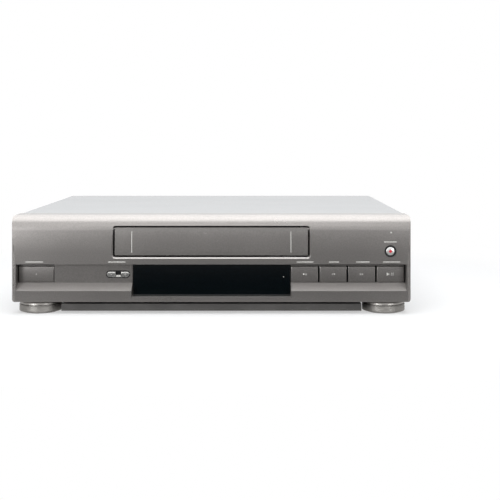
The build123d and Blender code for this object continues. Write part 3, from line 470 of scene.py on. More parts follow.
@dataclass(frozen=True)
class BoardResin(Finish):
    """Phenolic circuit board: brown resin with fibre mottling and darker printed tracks."""
    track_pitch: float = 5 * MM

    def build(self, tree: ShaderTree) -> None:
        """Mixes the resin's fibres with a band of tracks."""
        fibre = tree.noise(700.0, 3.0, (1, 8, 1))
        wander = tree.noise(60.0, 2.0)
        phase = (tree.axis("X") + tree.axis("Z")) * (2 * math.pi / self.track_pitch) + wander * 9.0
        tracks = phase.sine().remap(0.55, 0.8, 0.0, 0.55)
        light = self.shade(1.3)
        dark = self.shade(0.45)
        tree.set(base_color=tree.mix(tree.mix(self.colour, light, fibre), dark, tracks))
        tree.bump(tracks, 0.05 * MM, 0.6)


@dataclass(frozen=True)
class Glaze(Finish):
    """Hard glossy surface, such as tube glass, a lamp lens or a shrunk sleeve."""
    coat: float = 0.6
    glow: Colour = (0.0, 0.0, 0.0)

    def build(self, tree: ShaderTree) -> None:
        """Varies the tone slightly under a clear coat."""
        tone = tree.noise(220.0, 2.0)
        dark = self.shade(0.8)
        tree.set(base_color=tree.mix(dark, self.colour, tone), coat_weight=self.coat,
                 coat_roughness=0.05)
        if any(self.glow):
            tree.set(emission_color=self.glow, emission_strength=0.25)


@dataclass(frozen=True)
class ScreenInk(Finish):
    """Pad-printed ink, slightly uneven in its cover."""

    def build(self, tree: ShaderTree) -> None:
        """Breaks the ink up very finely."""
        cover = tree.noise(4000.0, 2.0).remap(0.25, 0.5)
        thin = self.shade(0.8)
        tree.set(base_color=tree.mix(thin, self.colour, cover))


class Palette:
    """The recorder's finishes, named by their slots where the construction model has them."""
    ACROSS: Point = (0.04, 1, 1)
    UPRIGHT: Point = (1, 1, 0.04)
    ROUND: Point = (0.02, 0.02, 1)

    BAND_END = 195.6 * MM
    KEY_FOOT = 29.0 * MM
    KEY_HEAD = 47.9 * MM
    BAND_TOP = 51.45 * MM
    # The panel's zones paint shade black on the sunk floors above and beside the keys and between
    # the channel keys.
    PANEL = FlakePaint("panel_plastic", srgb(138, 134, 131), 0.29, metallic=0.75, coat=0.5,
                       dust=0.5, painted_shade_zones=(
                           ShadeZone(80.0 * MM, BAND_END, KEY_HEAD, BAND_TOP),
                           ShadeZone(194.1 * MM, BAND_END, KEY_FOOT, KEY_HEAD),
                           ShadeZone(-BAND_END, -158.9 * MM, KEY_HEAD, BAND_TOP),
                           ShadeZone(-BAND_END, -194.6 * MM, KEY_FOOT, KEY_HEAD),
                           ShadeZone(-109.0 * MM, -80.2 * MM, 33.0 * MM, 44.6 * MM, -143.95 * MM)))
    KEY = FlakePaint("key_plastic", srgb(137, 133, 130), 0.30, metallic=0.72)
    SILVER = FlakePaint("silver_plastic", srgb(208, 207, 204), 0.32, metallic=0.55, flake=0.03)
    ROCKER = FlakePaint("rocker_silver", srgb(196, 195, 192), 0.24, metallic=0.9, flake=0.03)
    BLACK = MouldedPlastic("black_plastic", srgb(20, 20, 21), 0.5)
    WINDOW = SmokedAcrylic("window_acrylic", srgb(4, 9, 12), 0.07)
    LAMP = Glaze("lamp_plastic", srgb(214, 212, 206), 0.2)
    SPRING = WorkedMetal("spring_steel", srgb(150, 150, 148), 0.32, UPRIGHT)
    COVER = FlakePaint("painted_sheet", srgb(158, 159, 160), 0.40, metallic=0.25,
                       flake_pitch=0.5 * MM)
    SCREW = WorkedMetal("screw_steel", srgb(160, 158, 152), 0.33)
    REAR = Spangle("rear_sheet", srgb(170, 172, 172), 0.34)
    PLINTH = MouldedPlastic("plinth_plastic", srgb(60, 58, 56), 0.48)
    FOOT = WorkedMetal("foot_silver", srgb(148, 145, 141), 0.42, ROUND, 0.3 * MM,
                       tarnish=0.04)
    PAD = Rubber("pad_rubber", srgb(26, 26, 26), 0.85)
    SOCKET = MouldedPlastic("socket_plastic", srgb(24, 24, 25), 0.5)
    PLATED = WorkedMetal("plated_brass", srgb(205, 200, 188), 0.2)
    TINNED = WorkedMetal("tinned_steel", srgb(186, 186, 182), 0.34, ACROSS)
    BOARD = BoardResin("circuit_board", srgb(142, 104, 56), 0.5)
    CHIP = MouldedPlastic("chip_resin", srgb(34, 34, 37), 0.5, 0.2 * MM, 0.01 * MM)
    CORE = WorkedMetal("core_steel", srgb(92, 82, 74), 0.45, UPRIGHT, 0.5 * MM, 0.03 * MM)
    SINK = WorkedMetal("heat_sink_aluminium", srgb(176, 178, 180), 0.38, UPRIGHT)
    SLEEVE = Glaze("capacitor_sleeve", srgb(34, 42, 84), 0.3)
    TUBE = Glaze("tube_glass", srgb(60, 72, 72), 0.08)
    DECK = Spangle("deck_steel", srgb(184, 184, 178), 0.3, crystal=5 * MM)
    MOULDED = MouldedPlastic("moulded_plastic", srgb(52, 52, 54), 0.5)
    GUIDE = WorkedMetal("guide_steel", srgb(206, 206, 206), 0.14, ROUND, tarnish=0.05)
    DRUM = WorkedMetal("drum_aluminium", srgb(208, 208, 204), 0.22, ROUND, tarnish=0.05)
    ROTOR = WorkedMetal("rotor_steel", srgb(168, 166, 160), 0.36, ROUND)
    HEAD = WorkedMetal("head_steel", srgb(176, 174, 168), 0.25, UPRIGHT)
    BEARING = WorkedMetal("bearing_brass", srgb(196, 160, 92), 0.3, ROUND)
    ROLLER = Rubber("roller_rubber", srgb(38, 36, 34), 0.75)
    GEAR = MouldedPlastic("gear_plastic", srgb(214, 210, 196), 0.45)
    PINION = WorkedMetal("gear_brass", srgb(200, 166, 96), 0.3)
    HOLDER = Spangle("holder_steel", srgb(176, 177, 174), 0.32, crystal=6 * MM)
    INK = ScreenInk("print_ink", srgb(206, 204, 198), 0.55)
    DIM_INK = ScreenInk("key_print_ink", srgb(186, 183, 178), 0.5)
    RED = Glaze("record_red", srgb(206, 38, 52), 0.35)
    # Black for painted shade, on the control board behind the keys.
    SHADE = MouldedPlastic("shadow_black", srgb(8, 8, 9), 0.7)

    @classmethod
    def of_slots(cls) -> dict[str, Finish]:
        """Each finish by its slot's name."""
        return {made.name: made for made in vars(cls).values() if isinstance(made, Finish)}


# ---- Meshes ----

def smooth_between_edges(mesh: bpy.types.Mesh) -> None:
    """Shades a mesh smooth except at its sharp edges."""
    mesh.polygons.foreach_set("use_smooth", [True] * len(mesh.polygons))
    mesh.set_sharp_from_angle(angle=SMOOTH_ANGLE)


def linked(name: str, data: Any) -> bpy.types.Object:
    """A new object on some data, linked to the scene."""
    made = bpy.data.objects.new(name, data)
    bpy.context.scene.collection.objects.link(made)
    return made


def centre_of(low: Sequence[float], high: Sequence[float]) -> Point:
    """The middle of a box."""
    return tuple((least + most) / 2 for least, most in zip(low, high))


def piece(name: str, mesh: bpy.types.Mesh, finish: Finish,
          smooth: bool = True) -> bpy.types.Object:
    """Links a mesh as an object at the origin.

    Args:
        name: The piece's name.
        mesh: Its mesh, already in place.
        finish: The finish it takes.
        smooth: Whether it still has to be shaded smooth between its sharp edges.

    Returns:
        The new object.
    """
    mesh.materials.clear()
    mesh.materials.append(finish.material())
    if smooth:
        smooth_between_edges(mesh)
    return linked(name, mesh)


def carry(made: bpy.types.Object, body: str, finish: Finish,
          *stands_for: str) -> bpy.types.Object:
    """Rides a finished piece on a body and hides the construction nodes that it stands for.

    Args:
        made: The piece.
        body: The body that it moves with.
        finish: Not used.
        stands_for: The construction nodes that it replaces.

    Returns:
        The piece.
    """
    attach(made, body)
    if stands_for:
        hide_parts(*stands_for)
    LOG.info("%s: %d faces on %s", made.name, len(made.data.polygons), body)
    return made


def add(name: str, mesh: bpy.types.Mesh, finish: Finish, body: str,
        *stands_for: str) -> bpy.types.Object:
    """Makes a piece of a mesh and carries it on a body.

    Args:
        name: The piece's name.
        mesh: Its mesh, already in place.
        finish: The finish it takes.
        body: The body that it moves with.
        stands_for: The construction nodes that it replaces.

    Returns:
        The piece.
    """
    return carry(piece(name, mesh, finish), body, finish, *stands_for)


def bridge(shape: bmesh.types.BMesh, near: list[Any], far: list[Any]) -> None:
    """Closes two like rings of corners into a prism."""
    shape.faces.new(near)
    shape.faces.new(far[::-1])
    for here in range(len(near)):
        after = (here + 1) % len(near)
        shape.faces.new((near[here], far[here], far[after], near[after]))


def cut_level(shape: bmesh.types.BMesh, level: float) -> None:
    """Cuts all faces of a bmesh at a height."""
    every = [*shape.verts, *shape.edges, *shape.faces]
    bmesh.ops.bisect_plane(shape, geom=every, plane_co=(0, 0, level), plane_no=UP,
                           dist=FINE_MERGE_DISTANCE)


def closed_mesh(shape: bmesh.types.BMesh, name: str) -> bpy.types.Mesh:
    """Ends a bmesh in a named mesh, its faces turned outwards."""
    bmesh.ops.recalc_face_normals(shape, faces=shape.faces)
    mesh = bpy.data.meshes.new(name)
    shape.to_mesh(mesh)
    shape.free()
    return mesh


def mesh_of(shape: bmesh.types.BMesh, name: str) -> bpy.types.Mesh:
    """Ends a bmesh in a named mesh, its doubles merged and its faces turned outwards."""
    bmesh.ops.remove_doubles(shape, verts=shape.verts, dist=FINE_MERGE_DISTANCE)
    return closed_mesh(shape, name)


def corners(left: float, right: float, bottom: float, top: float) -> Outline:
    """The outline of an upright rectangle, from its four sides."""
    return [(left, bottom), (right, bottom), (right, top), (left, top)]


def oblong(x: float, z: float, width: float, height: float) -> Outline:
    """The outline of an upright rectangle about (x, z)."""
    return corners(x - width / 2, x + width / 2, z - height / 2, z + height / 2)


def lathe(name: str, profile: Outline, centre: Point, steps: int = 96,
          axis: Point = UP) -> bpy.types.Mesh:
    """Turns a profile of (radius, height) points about an axis.

    Args:
        name: The mesh's name.
        profile: Radius and height of each point, from one end of the axis to the other.
        centre: Where the axis and the zero height meet.
        steps: Divisions of the full turn.
        axis: The direction of the axis.

    Returns:
        A closed mesh; a radius of zero closes an end.
    """
    shape = bmesh.new()
    rings = []
    for radius, height in profile:
        if radius <= 0:
            rings.append([shape.verts.new((0, 0, height))])
            continue
        turns = (2 * math.pi * step / steps for step in range(steps))
        rings.append([shape.verts.new((radius * math.cos(turn), radius * math.sin(turn), height))
                      for turn in turns])
    for low, high in zip(rings, rings[1:]):
        for step in range(steps):
            after = (step + 1) % steps
            corners = [low[step % len(low)], low[after % len(low)],
                       high[after % len(high)], high[step % len(high)]]
            shape.faces.new(list(dict.fromkeys(corners)))
    turn = Vector(UP).rotation_difference(Vector(axis)).to_matrix().to_4x4()
    bmesh.ops.transform(shape, matrix=Matrix.Translation(centre) @ turn, verts=shape.verts)
    return mesh_of(shape, name)


def arc(centre: tuple[float, float], radius: float, start: float, end: float,
        steps: int) -> Outline:
    """Points along an arc.

    Args:
        centre: Its centre.
        radius: Its radius.
        start: First angle in degrees.
        end: Last angle in degrees.
        steps: Divisions of the arc.

    Returns:
        The points, both ends among them.
    """
    angles = (math.radians(start + (end - start) * step / steps) for step in range(steps + 1))
    return [(centre[0] + radius * math.cos(angle), centre[1] + radius * math.sin(angle))
            for angle in angles]


def disc(centre: tuple[float, float], radius: float) -> Outline:
    """The round outline of a small printed dot."""
    return arc(centre, radius, 0, 345, 23)


def frontal(name: str, outlines: Iterable[Outline], face_y: float, rise: float,
            sink: float = 0.1 * MM) -> bpy.types.Mesh:
    """Thin plates whose outlines lie in X and Z, standing proud of a surface that faces the front.

    Args:
        name: The mesh's name.
        outlines: One closed outline for each plate.
        face_y: The surface that they lie on.
        rise: How far they stand out of it.
        sink: How far they reach behind it.

    Returns:
        A mesh of closed plates.
    """
    shape = bmesh.new()
    for outline in outlines:
        near = [shape.verts.new((x, face_y - rise, z)) for x, z in outline]
        far = [shape.verts.new((x, face_y + sink, z)) for x, z in outline]
        bridge(shape, near, far)
    return closed_mesh(shape, name)


def evaluated(host: bpy.types.Object) -> bpy.types.Mesh:
    """The plain mesh that an object's modifiers make; the object itself is removed."""
    bpy.context.view_layer.update()
    graph = bpy.context.evaluated_depsgraph_get()
    made = bpy.data.meshes.new_from_object(host.evaluated_get(graph))
    bpy.data.objects.remove(host)
    return made


def merged(node: str) -> bmesh.types.BMesh:
    """A construction node's mesh at rest, its doubles merged."""
    shape = bmesh.new()
    shape.from_mesh(frame["nodes"][node].data)
    bmesh.ops.remove_doubles(shape, verts=shape.verts, dist=MERGE_DISTANCE)
    return shape


def joint(name: str) -> dict[str, Any]:
    """A joint of the construction model, by its name."""
    return next(each for each in frame["joints"] if each["name"] == name)


def islands(node: str) -> list[tuple[Vector, Vector]]:
    """Lowest and highest corner of each separate solid of a construction node, at rest."""
    shape = merged(node)
    left, boxes = set(shape.verts), []
    while left:
        reached, edge = set(), [left.pop()]
        while edge:
            vert = edge.pop()
            reached.add(vert)
            near = {link.other_vert(vert) for link in vert.link_edges} & left
            left -= near
            edge.extend(near)
        columns = list(zip(*(vert.co for vert in reached)))
        boxes.append((Vector(map(min, columns)), Vector(map(max, columns))))
    shape.free()
    return sorted(boxes, key=lambda box: tuple(box[0]))


@dataclass
class BrokenEdges:
    """A construction node redrawn with its sharp edges broken, as a mould or press leaves them."""
    node: str
    finish: Finish
    edge: float = 0.25 * MM
    steps: int = 2
    limit: float = 40.0
    flat: float = 0.5

    def build(self) -> bpy.types.Object:
        """Merges a copy of the node, bevels its sharp edges and lets it stand for the node.

        Returns:
            The piece, riding on the node's own body.
        """
        source = frame["nodes"][self.node]
        shape = merged(self.node)
        if self.edge:
            bmesh.ops.dissolve_limit(shape, angle_limit=math.radians(self.flat),
                                     verts=shape.verts, edges=shape.edges)
        mesh = bpy.data.meshes.new(self.node + "_edges")
        shape.to_mesh(mesh)
        shape.free()
        bevelled = self.bevel(mesh) if self.edge else mesh
        self.shape_face(bevelled)
        made = piece(self.node + "_moulding", even_normals(bevelled), self.finish,
                     smooth=False)
        return carry(made, body_of(source)[0], self.finish, self.node)

    def bevel(self, mesh: bpy.types.Mesh) -> bpy.types.Mesh:
        """Rounds the mesh's sharp edges."""
        host = linked(self.node + "_host", mesh)
        bevel = host.modifiers.new("Edges", "BEVEL")
        bevel.width = self.edge
        bevel.segments = self.steps
        bevel.limit_method = "ANGLE"
        bevel.angle_limit = math.radians(self.limit)
        bevel.miter_outer = "MITER_ARC"
        bevel.use_clamp_overlap = True
        return evaluated(host)

    def shape_face(self, mesh: bpy.types.Mesh) -> None:
        """Leaves the node's own form; a subclass may curve its face."""


def even_normals(mesh: bpy.types.Mesh) -> bpy.types.Mesh:
    """Shades a mesh smooth between its sharp edges, large faces flat, by area-weighted normals."""
    smooth_between_edges(mesh)
    host = linked(mesh.name + "_host", mesh)
    weigh = host.modifiers.new("Weigh", "WEIGHTED_NORMAL")
    weigh.mode, weigh.weight, weigh.keep_sharp = "FACE_AREA", FACE_WEIGHT, True
    return evaluated(host)


def bow(mesh: bpy.types.Mesh, levels: Sequence[float], setback: Callable[[float], float],
        depth: float) -> None:
    """Curves a front face in side view, by moving it back by an amount that depends on its height.

    Args:
        mesh: The mesh, changed in place.
        levels: Heights at which its faces are cut so that they can bend.
        setback: How far the face moves back at a height.
        depth: How far behind the face the movement dies out.
    """
    shape = bmesh.new()
    shape.from_mesh(mesh)
    for level in levels:
        cut_level(shape, level)
    face = min(vert.co.y for vert in shape.verts)
    for vert in shape.verts:
        share = max(0.0, 1 - (vert.co.y - face) / depth)
        vert.co.y += setback(vert.co.z) * share
    shape.to_mesh(mesh)
    shape.free()


@dataclass
class BowedPanel(BrokenEdges):
    """The front panel, its bowed and bent face cut into fine strips that lie on the true curve."""
    bow_height: float = 22 * MM
    bow_radius: float = 230 * MM
    bend_height: float = 13 * MM
    bend_radius: float = 25 * MM
    lip_height: float = 2 * MM
    strip: float = 1.0 * MM
    reach: float = 0.25 * MM
    top_margin: float = 0.3 * MM

    def setback(self, rise: float) -> float:
        """How far the face lies behind the front plane at a height above the bow's start."""
        slope = math.asin(self.bow_height / self.bow_radius)
        if rise <= self.bow_height:
            return self.bow_radius - math.sqrt(self.bow_radius ** 2 - max(0.0, rise) ** 2)
        bent = math.asin(math.sin(slope) + (rise - self.bow_height) / self.bend_radius)
        bowed = self.bow_radius * (1 - math.cos(slope))
        return bowed + self.bend_radius * (math.cos(slope) - math.cos(bent))

    def shape_face(self, mesh: bpy.types.Mesh) -> None:
        """Cuts the strips and moves their edges onto the curve."""
        low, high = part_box(self.node)
        height = self.bow_height + self.bend_height
        start = high[2] - self.lip_height - height
        shape = bmesh.new()
        shape.from_mesh(mesh)
        for cut in range(round(height / self.strip)):
            cut_level(shape, start + cut * self.strip)
        for vert in shape.verts:
            rise = vert.co.z - start
            if 0 < rise < height - self.top_margin:
                true = low[1] + self.setback(rise)
                if abs(vert.co.y - true) < self.reach:
                    vert.co.y = true
        shape.to_mesh(mesh)
        shape.free()


@dataclass
class BowedFlap(BrokenEdges):
    """The cassette flap, whose face follows the front's gentle bow."""
    bow_start: float = 62 * MM
    bow_radius: float = 230 * MM
    depth: float = 2.2 * MM
    cuts: int = 6

    def setback(self, level: float) -> float:
        """How far the bow lies behind the plane at a height."""
        rise = max(0.0, level - self.bow_start)
        return self.bow_radius - math.sqrt(self.bow_radius ** 2 - rise ** 2)

    def shape_face(self, mesh: bpy.types.Mesh) -> None:
        """Bows the flap's face."""
        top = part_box(self.node)[1][2]
        rise = top - self.bow_start
        levels = [self.bow_start + rise * cut / self.cuts for cut in range(self.cuts)]
        bow(mesh, levels, self.setback, self.depth)


@dataclass
class CrownedKey(BrokenEdges):
    """A key cap whose face is slightly crowned from top to bottom."""
    crown: float = 0.28 * MM
    depth: float = 1.2 * MM
    cuts: int = 8

    def shape_face(self, mesh: bpy.types.Mesh) -> None:
        """Crowns the cap about its middle height."""
        low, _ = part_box(self.node)
        levels = [vert.co.z for vert in mesh.vertices if vert.co.y < low[1] + 0.5 * self.edge]
        bottom, top = min(levels), max(levels)
        middle, half = (bottom + top) / 2, (top - bottom) / 2
        cuts = [bottom + (top - bottom) * cut / self.cuts for cut in range(1, self.cuts)]

        def setback(level: float) -> float:
            """How far the crown has fallen away at a height."""
            return self.crown * min(1.0, abs(level - middle) / half) ** 2

        bow(mesh, cuts, setback, self.depth)


@dataclass
class RockerHalf(BrokenEdges):
    """Half of the pill-shaped channel rocker, its upper part rolled back."""
    roll_start: float = 0.8 * MM
    roll_radius: float = 3.1 * MM
    roll_share: float = 0.95
    depth: float = 1.3 * MM
    cuts: int = 10
    ease: float = 0.985

    def shape_face(self, mesh: bpy.types.Mesh) -> None:
        """Rolls the cap back above its middle and eases its sides off the panel."""
        low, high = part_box(self.node)
        middle, _, level = centre_of(low, high)
        start = level + self.roll_start
        most = self.roll_share * self.roll_radius

        def setback(level: float) -> float:
            """How far the roll has gone back at a height."""
            gone = min(most, max(0.0, level - start))
            return self.roll_radius - math.sqrt(self.roll_radius ** 2 - gone ** 2)

        cuts = [start + most * cut / self.cuts for cut in range(self.cuts)]
        bow(mesh, cuts, setback, self.depth)
        for vert in mesh.vertices:
            vert.co.x = middle + (vert.co.x - middle) * self.ease


# ---- Geometry Nodes ----

class GeometryTree(Tree):
    """A Geometry Nodes tree with named inputs, ending in Realize Instances and Set Material."""

    def __init__(self, name: str, inputs: dict[str, str]) -> None:
        """Makes the tree's interface.

        Args:
            name: The tree's name.
            inputs: Socket type of each named input; "Material" is added to them.
        """
        group = bpy.data.node_groups.new(name, "GeometryNodeTree")
        super().__init__(group)
        for side in ("INPUT", "OUTPUT"):
            group.interface.new_socket("Geometry", in_out=side, socket_type="NodeSocketGeometry")
        self.identifiers = {}
        for label, kind in {**inputs, "Material": "NodeSocketMaterial"}.items():
            made = group.interface.new_socket(label, in_out="INPUT", socket_type=kind)
            self.identifiers[label] = made.identifier
        self.inlet = self.node("NodeGroupInput")
        self.outlet = self.node("NodeGroupOutput")

    def given(self, label: str) -> Value:
        """One of the tree's named inputs."""
        return Value(self, self.inlet.outputs[label])

    def circle(self, sides: int, label: str) -> Value:
        """A circle of that many sides, its radius taken from a named input."""
        return self.value("GeometryNodeCurvePrimitiveCircle", None,
                          {"Resolution": sides, "Radius": self.given(label)})

    def close(self, geometry: Value) -> None:
        """Ends the tree with the geometry made real and given its material."""
        real = self.value("GeometryNodeRealizeInstances", None, {0: geometry})
        dressed = self.value("GeometryNodeSetMaterial", None,
                             {"Geometry": real, "Material": self.given("Material")})
        self.feed(self.outlet.inputs[0], dressed)

    def make(self, name: str, finish: Finish, body: str, sizes: dict[str, Any], *stands_for: str,
             start: bpy.types.Mesh | None = None) -> bpy.types.Object:
        """Runs the tree once and carries the result on a body.

        Args:
            name: The piece's name.
            finish: The material that the tree sets.
            body: The body that the piece moves with.
            sizes: Value of each named input.
            stands_for: The construction nodes that it replaces.
            start: The mesh that the tree begins from, if it needs one.

        Returns:
            The result as a plain mesh piece.
        """
        host = linked(name + "_host", start or bpy.data.meshes.new(name + "_start"))
        rule = host.modifiers.new("Rule", "NODES")
        rule.node_group = self.tree
        for label, given in {**sizes, "Material": finish.material()}.items():
            rule[self.identifiers[label]] = given
        return add(name, evaluated(host), finish, body, *stands_for)


class CopiesTree(GeometryTree):
    """Copies of one part at marked places, each turned so that its Z follows the place's axis."""

    def __init__(self) -> None:
        """Builds the tree."""
        super().__init__("copies_at_places", {
            "Part": "NodeSocketObject", "Turn": "NodeSocketFloat", "Seed": "NodeSocketInt"})
        part = self.value("GeometryNodeObjectInfo", None, {"Object": self.given("Part")},
                          output="Geometry")
        axis = self.value("GeometryNodeInputNamedAttribute", {"data_type": "FLOAT_VECTOR"},
                          {"Name": "axis"})
        facing = self.value("FunctionNodeAlignRotationToVector", {"axis": "Z"}, {"Vector": axis})
        turn = self.value("FunctionNodeRandomValue", {"data_type": "FLOAT"},
                          {2: 0.0, 3: self.given("Turn"), "Seed": self.given("Seed")}, output=1)
        spin = self.value("FunctionNodeAxisAngleToRotation", None,
                          {"Axis": UP, "Angle": turn})
        facing = self.value("FunctionNodeRotateRotation", {"rotation_space": "LOCAL"},
                            {"Rotation": facing, "Rotate By": spin})
        self.close(self.value("GeometryNodeInstanceOnPoints", None, {
            "Points": self.inlet.outputs["Geometry"], "Instance": part, "Rotation": facing}))

    def place(self, name: str, part: bpy.types.Mesh, finish: Finish, body: str, places: Places,
              *stands_for: str, turn: float = 0.0, seed: int = 1) -> bpy.types.Object:
        """Copies a part to each place.

        Args:
            name: The piece's name.
            part: The part's mesh, about the origin, its outside along +Z.
            finish: Its finish.
            body: The body that the copies move with.
            places: Position and axis of each copy.
            stands_for: The construction nodes that they replace.
            turn: The most that a copy is turned about its axis, in radians.
            seed: Seed of the turns.

        Returns:
            All copies as one piece.
        """
        marks = bpy.data.meshes.new(name + "_places")
        marks.from_pydata([position for position, _ in places], [], [])
        axes = marks.attributes.new("axis", "FLOAT_VECTOR", "POINT")
        for mark, (_, axis) in zip(axes.data, places):
            mark.vector = axis
        sample = bpy.data.objects.new(name + "_part", part)
        sizes = {"Part": sample, "Turn": turn, "Seed": seed}
        made = self.make(name, finish, body, sizes, *stands_for, start=marks)
        bpy.data.objects.remove(sample)
        return made


class RingsTree(GeometryTree):
    """A stack of round beads about an upright axis, at an even pitch."""

    def __init__(self) -> None:
        """Builds the tree."""
        super().__init__("stack_of_rings", {
            "Centre": "NodeSocketVector", "Radius": "NodeSocketFloat", "Bead": "NodeSocketFloat",
            "Pitch": "NodeSocketFloat", "Count": "NodeSocketInt"})
        path = self.circle(ROUND_SIDES, "Radius")
        bead = self.circle(WIRE_SIDES, "Bead")
        ring = self.value("GeometryNodeCurveToMesh", None, {"Curve": path, "Profile Curve": bead})
        step = self.value("ShaderNodeCombineXYZ", None, {"Z": self.given("Pitch")})
        line = self.value("GeometryNodeMeshLine", None, {
            "Count": self.given("Count"), "Start Location": self.given("Centre"), "Offset": step})
        self.close(self.value("GeometryNodeInstanceOnPoints", None,
                              {"Points": line, "Instance": ring}))


class CoilTree(GeometryTree):
    """A close coil of round wire along X."""

    def __init__(self) -> None:
        """Builds the tree."""
        super().__init__("wire_coil", {
            "Start": "NodeSocketVector", "Radius": "NodeSocketFloat", "Wire": "NodeSocketFloat",
            "Length": "NodeSocketFloat", "Turns": "NodeSocketFloat"})
        path = self.value("GeometryNodeCurveSpiral", None, {
            "Resolution": 24, "Rotations": self.given("Turns"),
            "Start Radius": self.given("Radius"), "End Radius": self.given("Radius"),
            "Height": self.given("Length")})
        wire = self.circle(WIRE_SIDES, "Wire")
        coil = self.value("GeometryNodeCurveToMesh", None,
                          {"Curve": path, "Profile Curve": wire, "Fill Caps": True})
        self.close(self.value("GeometryNodeTransform", None, {
            "Geometry": coil, "Translation": self.given("Start"),
            "Rotation": (0, math.pi / 2, 0)}))


# ---- Sub-assemblies ----

class Symbol(Enum):
    """The generic signs printed on the keys."""
    STANDBY = "standby"
    STOP_EJECT = "stop_eject"
    REWIND = "rewind"
    FORWARD = "forward"
    PLAY_PAUSE = "play_pause"
    MINUS = "minus"
    PLUS = "plus"


@dataclass
class KeyLegend:
    """A sign printed on a key cap, about its middle."""
    symbol: Symbol
    height: float = 2.4 * MM
    stroke: float = 0.5 * MM
    rise: float = 0.04 * MM

    def arrow(self, x: float, way: int) -> Outline:
        """A triangle about x that points right (1) or left (-1)."""
        half = self.height / 2
        reach = way * half * 0.9
        return [(x - reach, -half), (x + reach, 0.0), (x - reach, half)]

    def outlines(self) -> list[Outline]:
        """The sign's closed outlines about the origin."""
        size, line = self.height, self.stroke
        pause = [oblong(size * across, 0, line, size * 0.9) for across in (0.42, 0.82)]
        foot = -size * 0.1
        eject = [[(size * 0.35, foot), (size * 1.15, foot), (size * 0.75, size * 0.45)],
                 oblong(size * 0.75, -size * 0.36, size * 0.8, line * 0.7)]
        return {
            Symbol.STANDBY: [disc((0, 0), size / 3)],
            Symbol.STOP_EJECT: [oblong(-size * 0.45, 0, size * 0.75, size * 0.75), *eject],
            Symbol.REWIND: [self.arrow(-size * 0.5, -1), self.arrow(size * 0.5, -1)],
            Symbol.FORWARD: [self.arrow(-size * 0.5, 1), self.arrow(size * 0.5, 1)],
            Symbol.PLAY_PAUSE: [self.arrow(-size * 0.6, 1), *pause],
            Symbol.MINUS: [oblong(0, 0, size, line)],
            Symbol.PLUS: [oblong(0, 0, size, line), oblong(0, size * 0.3, line, size * 0.4),
                          oblong(0, -size * 0.3, line, size * 0.4)],
        }[self.symbol]

    def build(self, node: str, finish: Finish) -> None:
        """Prints the sign on a key.

        Args:
            node: The key's construction node.
            finish: The ink.
        """
        low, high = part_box(node)
        across, _, level = centre_of(low, high)
        moved = [[(across + x, level + z) for x, z in outline] for outline in self.outlines()]
        mesh = frontal(f"{node}_sign", moved, low[1], self.rise)
        add(f"{node}_sign", mesh, finish, body_of(frame["nodes"][node])[0])


